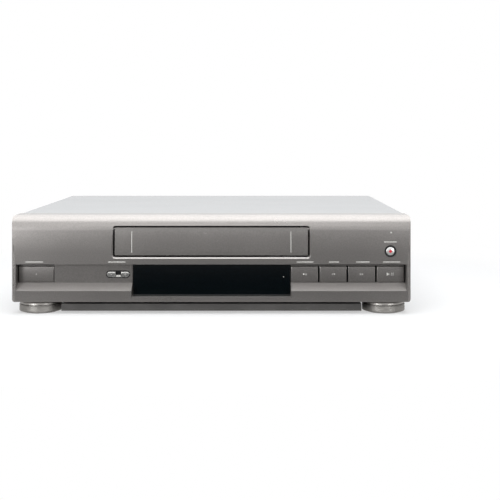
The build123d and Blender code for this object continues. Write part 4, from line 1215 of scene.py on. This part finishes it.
@dataclass
class ControlBand:
    """Keys, channel rocker and record button, with their signs and index lines."""
    sign_height: float = 2.0 * MM
    pause_height: float = 3.5 * MM
    dot_radius: float = 1.55 * MM
    dome_radius: float = 14.0 * MM
    key_edge: float = 0.25 * MM
    pill_edge: float = 0.5 * MM
    dome_inset: float = 0.6 * MM
    bar_width: float = 4.4 * MM
    bar_height: float = 2.0 * MM
    bar_drop: float = 1.9 * MM
    bar_rise: float = 0.9 * MM
    index_height: float = 0.8 * MM
    index_rise: float = 3.9 * MM
    record_index_rise: float = 2.9 * MM
    channel_index: float = 0.75
    record_index: float = 1.04
    index_sink: float = 0.25 * MM
    floor_depth: float = 1.8 * MM
    button_depth: float = 11 * MM
    skirt_drop: float = 0.9 * MM
    skirt_bite: float = 0.05 * MM
    dome_edge: float = 0.3 * MM
    dot_rise: float = 0.05 * MM

    INDEX_WIDTHS = {
        "power_button": 0.5, "stop_eject_button": 0.62, "rewind_button": 0.37,
        "forward_button": 0.5, "play_pause_button": 0.63,
    }
    BRIGHT_SIGNS = (Symbol.STOP_EJECT, Symbol.PLAY_PAUSE)
    SIGNS = {
        "power_button": Symbol.STANDBY, "stop_eject_button": Symbol.STOP_EJECT,
        "rewind_button": Symbol.REWIND, "forward_button": Symbol.FORWARD,
        "play_pause_button": Symbol.PLAY_PAUSE, "channel_down_button": Symbol.MINUS,
        "channel_up_button": Symbol.PLUS,
    }

    def build(self) -> None:
        """Dresses every key, the record button and the prints round them."""
        for node, symbol in self.SIGNS.items():
            if node.startswith("channel"):
                RockerHalf(node, Palette.ROCKER, self.pill_edge, 4).build()
            else:
                CrownedKey(node, Palette.KEY, self.key_edge).build()
            height = self.pause_height if symbol is Symbol.PLAY_PAUSE else self.sign_height
            ink = Palette.INK if symbol in self.BRIGHT_SIGNS else Palette.DIM_INK
            KeyLegend(symbol, height).build(node, ink)
        self.record_button()
        self.channel_bar()
        self.index_lines()

    def channel_bar(self) -> None:
        """Sets the small bright bar on the recess's floor, between the channel keys."""
        left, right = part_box("channel_down_button"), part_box("channel_up_button")
        middle = (left[1][0] + right[0][0]) / 2
        level = centre_of(*left)[2] - self.bar_drop
        outline = oblong(middle, level, self.bar_width, self.bar_height)
        floor = left[0][1] + self.floor_depth
        mesh = frontal("channel_bar", [outline], floor, self.bar_rise)
        add("channel_bar", mesh, Palette.INK, "cabinet")

    def index_lines(self) -> None:
        """Prints a plain index line over each key, on the face above the band."""
        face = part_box("front_panel")[0][1]
        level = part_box("play_pause_button")[1][2] + self.index_rise
        collar_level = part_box("record_collar")[1][2] + self.record_index_rise
        spans = [(node, node, share, level) for node, share in self.INDEX_WIDTHS.items()]
        spans += [("channel_down_button", "channel_up_button", self.channel_index, level),
                  ("record_collar", "record_collar", self.record_index, collar_level)]
        outlines = []
        for first, last, share, bottom in spans:
            start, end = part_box(first)[0][0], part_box(last)[1][0]
            middle, half = (start + end) / 2, (end - start) * share / 2
            outlines.append(corners(middle - half, middle + half, bottom,
                                    bottom + self.index_height))
        mesh = frontal("index_lines", outlines, face, INK_RISE, self.index_sink)
        flap = BowedFlap("cassette_flap", Palette.PANEL)
        for vert in mesh.vertices:
            vert.co.y += flap.setback(vert.co.z)
        add("index_lines", mesh, Palette.INK, "cabinet")

    def record_button(self) -> None:
        """Turns the domed record button, its dark skirt and the red dot on its crown."""
        low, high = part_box("record_button")
        x, _, z = centre_of(low, high)
        middle = (x, low[1], z)
        skirt = (high[0] - low[0]) / 2
        radius = skirt - self.dome_inset
        dome, back = self.dome_radius, -self.button_depth
        edge = math.degrees(math.asin((radius - self.dome_edge) / dome))
        crown = arc((0, -dome), dome, 90 - edge, 90, 12)
        crown[-1] = (0.0, 0.0)
        drop = crown[0][1]
        profile = [(0, back), (radius, back), (radius, drop - 0.35 * MM),
                   (radius - 0.08 * MM, drop - 0.1 * MM)]
        mesh = lathe("record_dome", profile + crown, middle, axis=FORWARD)
        add("record_dome", mesh, Palette.SILVER, "record_key", "record_button")
        inner, rim = radius - self.skirt_bite, -self.skirt_drop
        profile = [(inner, back), (skirt, back), (skirt, rim), (inner, rim), (inner, back)]
        add("record_skirt", lathe("record_skirt", profile, middle, axis=FORWARD), Palette.BLACK,
            "record_key")
        spread = math.degrees(math.asin(self.dot_radius / dome))
        cap = arc((0, -dome), dome + self.dot_rise, 90 - spread, 90, 6)
        cap[-1] = (0.0, cap[-1][1])
        profile = [(0, -self.dome_edge), (self.dot_radius, -self.dome_edge)]
        mesh = lathe("record_dot", profile + cap, middle, steps=48, axis=FORWARD)
        add("record_dot", mesh, Palette.RED, "record_key")


@dataclass
class FrontFace:
    """The moulded front with its flap, window and record collar, and the lines on them."""
    panel_edge: float = 0.28 * MM
    flap_edge: float = 0.22 * MM
    window_edge: float = 0.15 * MM
    collar_edge: float = 0.2 * MM
    line_width: float = 0.6 * MM
    line_inset: float = 17.0 * MM
    line_above: float = 2.7 * MM
    line_below: float = 3.8 * MM
    groove_depth: float = 0.35 * MM
    inlay: float = 0.75
    sensor_x: float = 72.5 * MM
    sensor_z: float = 36.1 * MM
    sensor_radius: float = 0.45 * MM

    def build(self) -> None:
        """Redraws the mouldings and adds the lines on the flap and the receiver's dot."""
        BowedPanel("front_panel", Palette.PANEL, self.panel_edge).build()
        flap = BowedFlap("cassette_flap", Palette.PANEL, self.flap_edge)
        flap.build()
        BrokenEdges("display_window", Palette.WINDOW, self.window_edge).build()
        BrokenEdges("record_collar", Palette.BLACK, self.collar_edge).build()
        self.flap_lines(flap)
        self.receiver_dot()

    def flap_lines(self, flap: BowedFlap) -> None:
        """Lays a pale inlay in each of the flap's two upright grooves.

        Args:
            flap: The flap, whose bow they follow.
        """
        low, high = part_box("cassette_flap")
        reach = FLAP_HALF - self.line_inset
        lines = []
        for x in (-reach, reach):
            left, right = x - self.line_width / 2, x + self.line_width / 2
            lines.append(corners(left, right, low[2] + self.line_above,
                                 high[2] - self.line_below))
        floor = low[1] + self.groove_depth
        mesh = frontal("flap_lines", lines, floor, self.groove_depth * self.inlay)
        flap.shape_face(mesh)
        add("flap_lines", mesh, Palette.INK, "flap")

    def receiver_dot(self) -> None:
        """Prints the dot that marks the remote receiver on the window."""
        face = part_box("display_window")[0][1]
        outline = disc((self.sensor_x, self.sensor_z), self.sensor_radius)
        mesh = frontal("receiver_dot", [outline], face, INK_RISE)
        add("receiver_dot", mesh, Palette.INK, "cabinet")


@dataclass
class Feet:
    """Turned front feet, each with a groove and a beaded drum, and plain rear feet."""
    bead: float = 0.8 * MM
    groove_level: float = 7.9 * MM
    groove_depth: float = 1.8 * MM
    rib_bead: float = 0.16 * MM
    rib_pitch: float = 0.85 * MM
    rib_start: float = 2.5 * MM
    rib_count: int = 6
    shoulder: float = 4.0 * MM
    shoulder_inset: float = 4.6 * MM
    cap_inset: float = 5.2 * MM
    break_edge: float = 0.15 * MM
    rear_edge: float = 0.4 * MM

    def build(self, rings: RingsTree) -> None:
        """Turns the feet.

        Args:
            rings: The tree that stacks the beads on each drum.
        """
        for side, (low, high) in zip(("left", "right"), islands("front_feet")):
            radius = (high[0] - low[0]) / 2
            x, y, _ = centre_of(low, high)
            outline = self.profile(radius, low[2], high[2])
            mesh = lathe(f"{side}_foot", outline, (x, y, 0.0), steps=ROUND_SIDES)
            stands_for = ("front_feet",) if side == "left" else ()
            add(f"{side}_foot", mesh, Palette.FOOT, "cabinet", *stands_for)
            sizes = {"Centre": (x, y, self.rib_start), "Radius": radius - self.rib_bead,
                     "Bead": self.rib_bead, "Pitch": self.rib_pitch, "Count": self.rib_count}
            rings.make(f"{side}_foot_beads", Palette.FOOT, "cabinet", sizes)
        BrokenEdges("rear_feet", Palette.BLACK, self.rear_edge).build()

    def profile(self, radius: float, bottom: float, top: float) -> Outline:
        """The front foot's half section from its underside up to its top face."""
        drum = radius - 2 * self.rib_bead
        groove, nick = self.groove_level, self.break_edge
        waist = radius - self.groove_depth
        toe = arc((radius - self.bead, bottom + self.bead), self.bead, -80, 0, 6)
        side = [(drum, bottom + self.bead + 0.3 * MM), (drum, groove - 0.9 * MM),
                (radius, groove - 0.5 * MM), (radius, groove - nick), (radius - nick, groove),
                (waist, groove + nick), (waist, groove + 0.6 * MM)]
        shoulder = arc((radius - self.shoulder_inset, groove + 0.9 * MM), self.shoulder, 0, 60, 10)
        return [(0, bottom), (radius - self.bead, bottom), *toe, *side, *shoulder,
                (radius - self.cap_inset, top), (0, top)]


@dataclass
class PlinthStrip(BrokenEdges):
    """The plinth, its ends drawn in so that the feet stand clear of them."""
    end: float = 5 * MM
    draw_in: float = 2.0 * MM

    def shape_face(self, mesh: bpy.types.Mesh) -> None:
        """Draws both ends in."""
        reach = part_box(self.node)[1][0] - self.end
        for vert in mesh.vertices:
            if abs(vert.co.x) > reach:
                vert.co.x -= math.copysign(self.draw_in, vert.co.x)


@dataclass
class Case:
    """The plinth, and the screws that hold the sheet parts."""
    head_radius: float = 3.4 * MM
    head_height: float = 1.4 * MM
    shank_radius: float = 1.5 * MM
    shank_length: float = 6 * MM
    taper_start: float = 4.5 * MM
    recess_width: float = 0.75 * MM
    recess_reach: float = 1.9 * MM
    recess_depth: float = 0.9 * MM
    recess_taper: float = 0.6

    def build(self, copies: CopiesTree) -> None:
        """Redraws the plinth and drives the screws.

        Args:
            copies: The tree that copies the screw.
        """
        PlinthStrip("plinth", Palette.PLINTH, 0.0).build()
        places = []
        for low, high in islands("cover_screws"):
            middle = (low + high) / 2
            if high[1] - low[1] > high[0] - low[0]:
                places.append(((middle[0], high[1] - self.head_height, middle[2]), BACKWARD))
            else:
                side = 1 if middle[0] > 0 else -1
                outer = high[0] if side > 0 else low[0]
                places.append(((outer - side * self.head_height, middle[1], middle[2]),
                               (side, 0, 0)))
        copies.place("cross_head_screws", self.screw(), Palette.SCREW, "cabinet", places,
                     "cover_screws", turn=math.pi / 2, seed=7)

    def screw(self) -> bpy.types.Mesh:
        """A pan-head screw about the origin, its head above Z = 0, with a cross cut in it."""
        top, shank = self.head_height, self.shank_radius
        point, taper = -self.shank_length, -self.taper_start
        head = [(0, point), (shank * 0.6, point), (shank, taper), (shank, 0),
                (self.head_radius, 0), (self.head_radius, 0.45 * top)]
        crown = [(self.head_radius * share, top * (1 - 0.55 * share ** 4))
                 for share in (0.93, 0.8, 0.6, 0.35)]
        turned = lathe("screw_body", head + crown + [(0, top)], ORIGIN, steps=40)
        body, cutter = linked("screw_body", turned), linked("screw_recess", self.cross())
        cut = body.modifiers.new("Recess", "BOOLEAN")
        cut.operation, cut.object, cut.solver = "DIFFERENCE", cutter, "EXACT"
        mesh = evaluated(body)
        bpy.data.objects.remove(cutter)
        smooth_between_edges(mesh)
        return mesh

    def cross(self) -> bpy.types.Mesh:
        """The cross-shaped punch of the recess, tapered towards its tip."""
        half, reach = self.recess_width / 2, self.recess_reach
        plus = [(half, reach), (-half, reach), (-half, half), (-reach, half),
                (-reach, -half), (-half, -half), (-half, -reach), (half, -reach),
                (half, -half), (reach, -half), (reach, half), (half, half)]
        shape = bmesh.new()
        mouth, tip = self.head_height + MM, self.head_height - self.recess_depth
        high = [shape.verts.new((x, y, mouth)) for x, y in plus]
        low = [shape.verts.new((self.recess_taper * x, self.recess_taper * y, tip))
               for x, y in plus]
        bridge(shape, high, low)
        return mesh_of(shape, "screw_cross")


@dataclass
class RearSockets:
    """Contacts and pins inside the rear sockets."""
    contact_rows: int = 2
    contact_count: int = 10
    contact_pitch: float = 3.81 * MM
    contact_width: float = 0.8 * MM
    contact_height: float = 2.2 * MM
    contact_length: float = 4.6 * MM
    contact_depth: float = 5.1 * MM
    first_contact: float = 18.5 * MM
    row_shift: float = 1.9 * MM
    row_offset: float = 2.6 * MM
    pin_radius: float = 1.25 * MM
    pin_length: float = 10.4 * MM
    pin_half_pitch: float = 4.3 * MM
    pin_setback: float = 1.95 * MM
    nose_share: float = 0.6

    def build(self, copies: CopiesTree) -> None:
        """Fits the contacts.

        Args:
            copies: The tree that copies them.
        """
        places = []
        for low, high in islands("scart_sockets"):
            start, back = centre_of(low, high)[0] - self.first_contact, high[1]
            for row in range(self.contact_rows):
                z = self.level() + (row * 2 - 1) * self.row_offset
                for number in range(self.contact_count):
                    x = start + number * self.contact_pitch + row * self.row_shift
                    places.append(((x, back - self.contact_depth, z), BACKWARD))
        copies.place("socket_contacts", self.contact(), Palette.PLATED, "cabinet", places)
        self.mains_pins(copies)

    def level(self) -> float:
        """Height of the sockets' middle, from the tuner's connectors."""
        return centre_of(*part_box("aerial_sockets"))[2]

    def contact(self) -> bpy.types.Mesh:
        """A leaf contact that stands along +Z, its tip rolled over."""
        half = self.contact_width / 2
        tip = arc((0, self.contact_length - half), half, 0, 180, 6)
        outline = [(half, 0.0)] + tip + [(-half, 0.0)]
        shape = bmesh.new()
        near, far = ([shape.verts.new((x, side * self.contact_height / 2, z))
                      for x, z in outline] for side in (-1, 1))
        bridge(shape, near, far)
        return mesh_of(shape, "leaf_contact")

    def mains_pins(self, copies: CopiesTree) -> None:
        """Sheathes the inlet's two pins in plated metal, with rounded tips."""
        low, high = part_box("mains_inlet")
        middle = centre_of(low, high)[0]
        nose_height = self.pin_radius * self.nose_share
        tip = self.pin_length - nose_height
        nose = [(self.pin_radius * math.cos(angle), tip + nose_height * math.sin(angle))
                for angle in (math.radians(20 * step) for step in range(5))]
        profile = [(0, 0), (self.pin_radius, 0), *nose, (0, self.pin_length)]
        pin = lathe("inlet_pin", profile, ORIGIN, steps=24)
        foot = high[1] - self.pin_setback - self.pin_length
        places = [((middle + side * self.pin_half_pitch, foot, self.level()), BACKWARD)
                  for side in (-1, 1)]
        copies.place("inlet_pins", pin, Palette.PLATED, "cabinet", places)


@dataclass
class TapeDeck:
    """Fine parts behind the flap: the holder's edges, the flap's spring and the video heads."""
    head_count: int = 4
    head_width: float = 1.6 * MM
    head_length: float = 2.9 * MM
    head_inset: float = 3.0 * MM
    head_level: float = 2.6 * MM
    drum_height: float = 12.5 * MM
    coil_turns: float = 2.6
    wire_radius: float = 0.15 * MM
    coil_radius: float = 1.7 * MM
    coil_gap: float = 0.2 * MM
    fixed_leg: float = 7.5 * MM
    fixed_leg_start: float = 1.2 * MM
    drop_leg: float = 8 * MM
    leg_gap: float = 0.04 * MM
    holder_edge: float = 0.15 * MM

    def build(self, copies: CopiesTree, coil: CoilTree) -> None:
        """Dresses the deck.

        Args:
            copies: The tree that copies the video heads.
            coil: The tree that winds the flap's spring.
        """
        BrokenEdges("cassette_holder", Palette.HOLDER, self.holder_edge, 1).build()
        self.flap_spring(coil)
        self.video_heads(copies)

    def flap_spring(self, coil: CoilTree) -> None:
        """Winds the coil between the spring's two legs and draws both legs as wire."""
        low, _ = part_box("flap_spring")
        wire = self.wire_radius
        _, pin_y, pin_z = joint("flap_hinge")["pos_m"]
        start, end = low[0] + wire, -FLAP_HALF - self.coil_gap - wire
        radius = self.coil_radius + wire
        sizes = {"Start": (start, pin_y, pin_z), "Radius": radius, "Wire": wire,
                 "Length": end - start, "Turns": self.coil_turns}
        coil.make("spring_coil", Palette.SPRING, "cabinet", sizes, "flap_spring")
        self.leg("spring_fixed_leg", "cabinet", self.fixed_leg,
                 (start, pin_y + self.fixed_leg_start, pin_z + radius), BACKWARD)
        behind = pin_y + radius + 2 * wire + self.leg_gap
        self.leg("spring_drop_leg", "flap", self.drop_leg,
                 (end, behind, pin_z - self.drop_leg), UP)

    def leg(self, name: str, body: str, length: float, foot: Point, way: Point) -> None:
        """Draws one straight leg of the spring.

        Args:
            name: The piece's name.
            body: The body that it moves with.
            length: The leg's length.
            foot: Where it starts.
            way: Its direction.
        """
        wire = self.wire_radius
        profile = [(0, 0), (wire, 0), (wire, length), (0, length)]
        add(name, lathe(name, profile, foot, steps=12, axis=way), Palette.SPRING, body)

    def video_heads(self, copies: CopiesTree) -> None:
        """Sets a head tip in each window of the upper drum."""
        low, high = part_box("upper_drum")
        drum = joint("drum_spin")
        axis = Vector(drum["axis"]).normalized()
        pivot = Vector(drum["pos_m"])
        radius = (high[0] - low[0]) / 2
        level = (high[2] - self.drum_height - pivot[2]) + self.head_level
        across = Vector((1, 0, 0))
        places = []
        for number in range(self.head_count):
            turn = Matrix.Rotation(math.tau * number / self.head_count, 3, axis)
            out = turn @ across
            spot = pivot + axis * level + out * (radius - self.head_inset)
            places.append((tuple(spot), tuple(out)))
        wide, long = self.head_width, self.head_length
        profile = [(0, 0), (wide, 0), (wide, 2.2 * MM), (0.5 * MM, long), (0, long)]
        tip = lathe("head_tip", profile, ORIGIN, steps=4)
        copies.place("video_heads", tip, Palette.HEAD, "head_drum", places)


@dataclass
class Studio:
    """Camera, pale floor and soft light."""
    lens: float = 68.4
    sensor: float = 36.0
    camera_x: float = 0.03875
    camera_distance: float = 0.95
    camera_height: float = 0.1806
    shift_down: float = 0.2322
    clip: Span = (0.05, 50.0)
    floor_half: float = 6.0
    room_level: float = 0.03
    far_level: float = 0.35
    fill_level: float = 0.18
    floor_tone: float = 0.45
    camera_lift: float = 0.50
    pool_width: float = 0.36
    pool_depth: float = 0.30
    pool_edge: Span = (0.95, 1.5)
    front_edge: Span = (-0.22, -0.16)
    room_reach: Span = (-0.30, -0.90)
    ahead_way: Span = (0.70, 0.985)
    low_way: Span = (0.0, 0.50)
    fill_colour: Colour = (0.95, 0.97, 1.0)
    lamp_colour: Colour = (0.97, 0.985, 1.0)

    def build(self) -> None:
        """Sets up the whole studio."""
        scene = bpy.context.scene
        scene.view_settings.view_transform = "Standard"
        self.camera()
        self.floor()
        self.world()
        for light in self.lights():
            self.softbox(*light)

    def camera(self) -> None:
        """Stands the camera level in front of the recorder, its frame shifted down."""
        data = bpy.data.cameras.new("studio_camera")
        data.lens, data.sensor_width, data.sensor_fit = self.lens, self.sensor, "HORIZONTAL"
        data.shift_y = -self.shift_down
        data.clip_start, data.clip_end = self.clip
        stand = linked("studio_camera", data)
        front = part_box("front_panel")[0][1]
        stand.location = (self.camera_x, front - self.camera_distance, self.camera_height)
        stand.rotation_euler = (math.radians(90), 0, 0)
        bpy.context.scene.camera = stand

    def seen_rays(self, tree: Tree) -> Value:
        """1 for rays of the camera, off a mirror or through glass, which see a white backdrop."""
        camera, glossy, through = (self.rays(tree, kind)
                                   for kind in ("Camera", "Glossy", "Transmission"))
        return camera + glossy + through

    def rays(self, tree: Tree, kind: str) -> Value:
        """1 for rays of one kind, else 0."""
        return tree.value("ShaderNodeLightPath", output=f"Is {kind} Ray")

    def glow(self, tree: Tree, strength: Any, colour: Colour = WHITE,
             kind: str = "Emission") -> bpy.types.NodeSocket:
        """An emission or background shader of that strength and colour."""
        inputs = {"Color": colour, "Strength": strength}
        return tree.node(f"ShaderNode{kind}", None, inputs).outputs[0]

    def blend(self, tree: Tree, factor: Any, first: Any, second: Any) -> bpy.types.NodeSocket:
        """A mix of two shaders, the second by the factor."""
        inputs = {0: factor, 1: first, 2: second}
        return tree.node("ShaderNodeMixShader", None, inputs).outputs[0]

    def floor(self) -> None:
        """Lays a pale floor that keeps a shadow near the recorder and fades to white beyond; in
        mirrors the floor ahead shows a painted glow, dark near the recorder and lighter farther
        out.
        """
        half = self.floor_half
        mesh = bpy.data.meshes.new("studio_floor")
        corners = [(-half, -half, 0), (half, -half, 0), (half, half, 0), (-half, half, 0)]
        mesh.from_pydata(corners, [], [(0, 1, 2, 3)])
        made = bpy.data.materials.new("studio_floor")
        tree = ShaderTree(made)
        tone = (self.floor_tone,) * 3
        tree.set(base_color=tone, roughness=0.9, specular_ior_level=0.0)
        across = tree.axis("X") / self.pool_width
        along = tree.axis("Y") / self.pool_depth
        away = (across * across + along * along) ** 0.5
        white, lift = self.glow(tree, 1.0), self.glow(tree, self.camera_lift)
        seen = self.seen_rays(tree)
        matt = tree.shader.outputs[0]
        lifted = tree.node("ShaderNodeAddShader", None, {0: matt, 1: lift}).outputs[0]
        near = self.blend(tree, seen, matt, lifted)
        mask = away.remap(*self.pool_edge) * seen
        # Painted reflection: for mirror rays the floor ahead of the recorder is replaced by a
        # glow, dark near it and lighter farther out.
        ahead = tree.axis("Y").remap(*self.front_edge, 1.0, 0.0) * self.rays(tree, "Glossy")
        mirrored_floor_glow = tree.axis("Y").remap(*self.room_reach, self.room_level, self.far_level)
        dark = self.glow(tree, mirrored_floor_glow)
        seen_floor = self.blend(tree, mask, near, white)
        tree.feed(tree.output.inputs[0], self.blend(tree, ahead, seen_floor, dark))
        mesh.materials.append(made)
        ground = linked("studio_floor", mesh)

    def world(self) -> None:
        """A white backdrop for the eye and for mirrors, the room dark ahead of the recorder."""
        world = bpy.data.worlds.new("studio_world")
        world.use_nodes = True
        tree = Tree(world.node_tree)
        way = tree.value("ShaderNodeTexCoord", output="Generated")
        ahead = (tree.part(way, "Y") * -1.0).remap(*self.ahead_way)
        low = tree.part(way, "Z").remap(*self.low_way, 1.0, 0.0)
        level = 1.0 - ahead * low * self.rays(tree, "Glossy") * (1 - self.room_level)
        white = self.glow(tree, level, kind="Background")
        fill = self.glow(tree, self.fill_level, self.fill_colour, "Background")
        mixed = self.blend(tree, self.seen_rays(tree), fill, white)
        tree.node("ShaderNodeOutputWorld", None, {0: mixed})
        bpy.context.scene.world = world

    def lights(self) -> list[tuple[str, Point, Point, tuple[float, float], float]]:
        """Name, place, aim, size and power of each softbox."""
        return [
            ("overhead", (0.0, -0.42, 1.35), (0.0, -0.20, 0.05), (1.6, 1.50), 25.0),
            ("camera_side", (-0.1, -1.60, 0.38), (0.0, -0.15, 0.06), (1.6, 0.25), 1.35),
            ("front_top", (-0.2, -1.65, 1.0), (0.0, -0.15, 0.05), (1.5, 0.4), 2.0),
            ("front_left", (-1.0, -1.50, 0.30), (-0.15, -0.15, 0.05), (0.4, 0.6), 12.5),
            ("front_right", (0.98, -1.50, 0.30), (0.15, -0.15, 0.05), (0.4, 0.6), 6.5),
            ("behind", (0.0, 1.5, 1.2), (0.0, 0.0, 0.05), (1.6, 0.8), 6.0),
        ]

    def softbox(self, name: str, place: Point, aim: Point, size: tuple[float, float],
                power: float) -> None:
        """Hangs one area light."""
        data = bpy.data.lights.new(name, "AREA")
        data.shape = "RECTANGLE"
        data.size, data.size_y = size
        data.energy = power
        data.color = self.lamp_colour
        lamp = linked(name, data)
        lamp.location = place
        lamp.rotation_euler = (Vector(aim) - Vector(place)).to_track_quat("-Z", "Y").to_euler()


def dress_inner_parts() -> None:
    """Gives every construction node the finish of its slot, and paints the control board shadow
    black as shade seen through the gaps between the keys.
    """
    finishes = Palette.of_slots()
    for name, node in frame["nodes"].items():
        # Painted shade: the board behind the keys is coloured shadow black so that the gaps
        # between the keys look dark.
        if name == "control_board":
            node.material_slots[0].material = Palette.SHADE.material()
            continue
        for slot in node.material_slots:
            title = slot.material.name.split(".")[0] if slot.material else None
            if title in finishes:
                slot.material = finishes[title].material()


def main() -> None:
    """Builds the studio, dresses the construction model and adds each sub-assembly."""
    logging.basicConfig(level=logging.INFO, format="%(name)s: %(message)s")
    Studio().build()
    dress_inner_parts()
    copies, rings, coil = CopiesTree(), RingsTree(), CoilTree()
    FrontFace().build()
    ControlBand().build()
    Feet().build(rings)
    Case().build(copies)
    RearSockets().build(copies)
    TapeDeck().build(copies, coil)


if __name__ == "__main__":
    main()
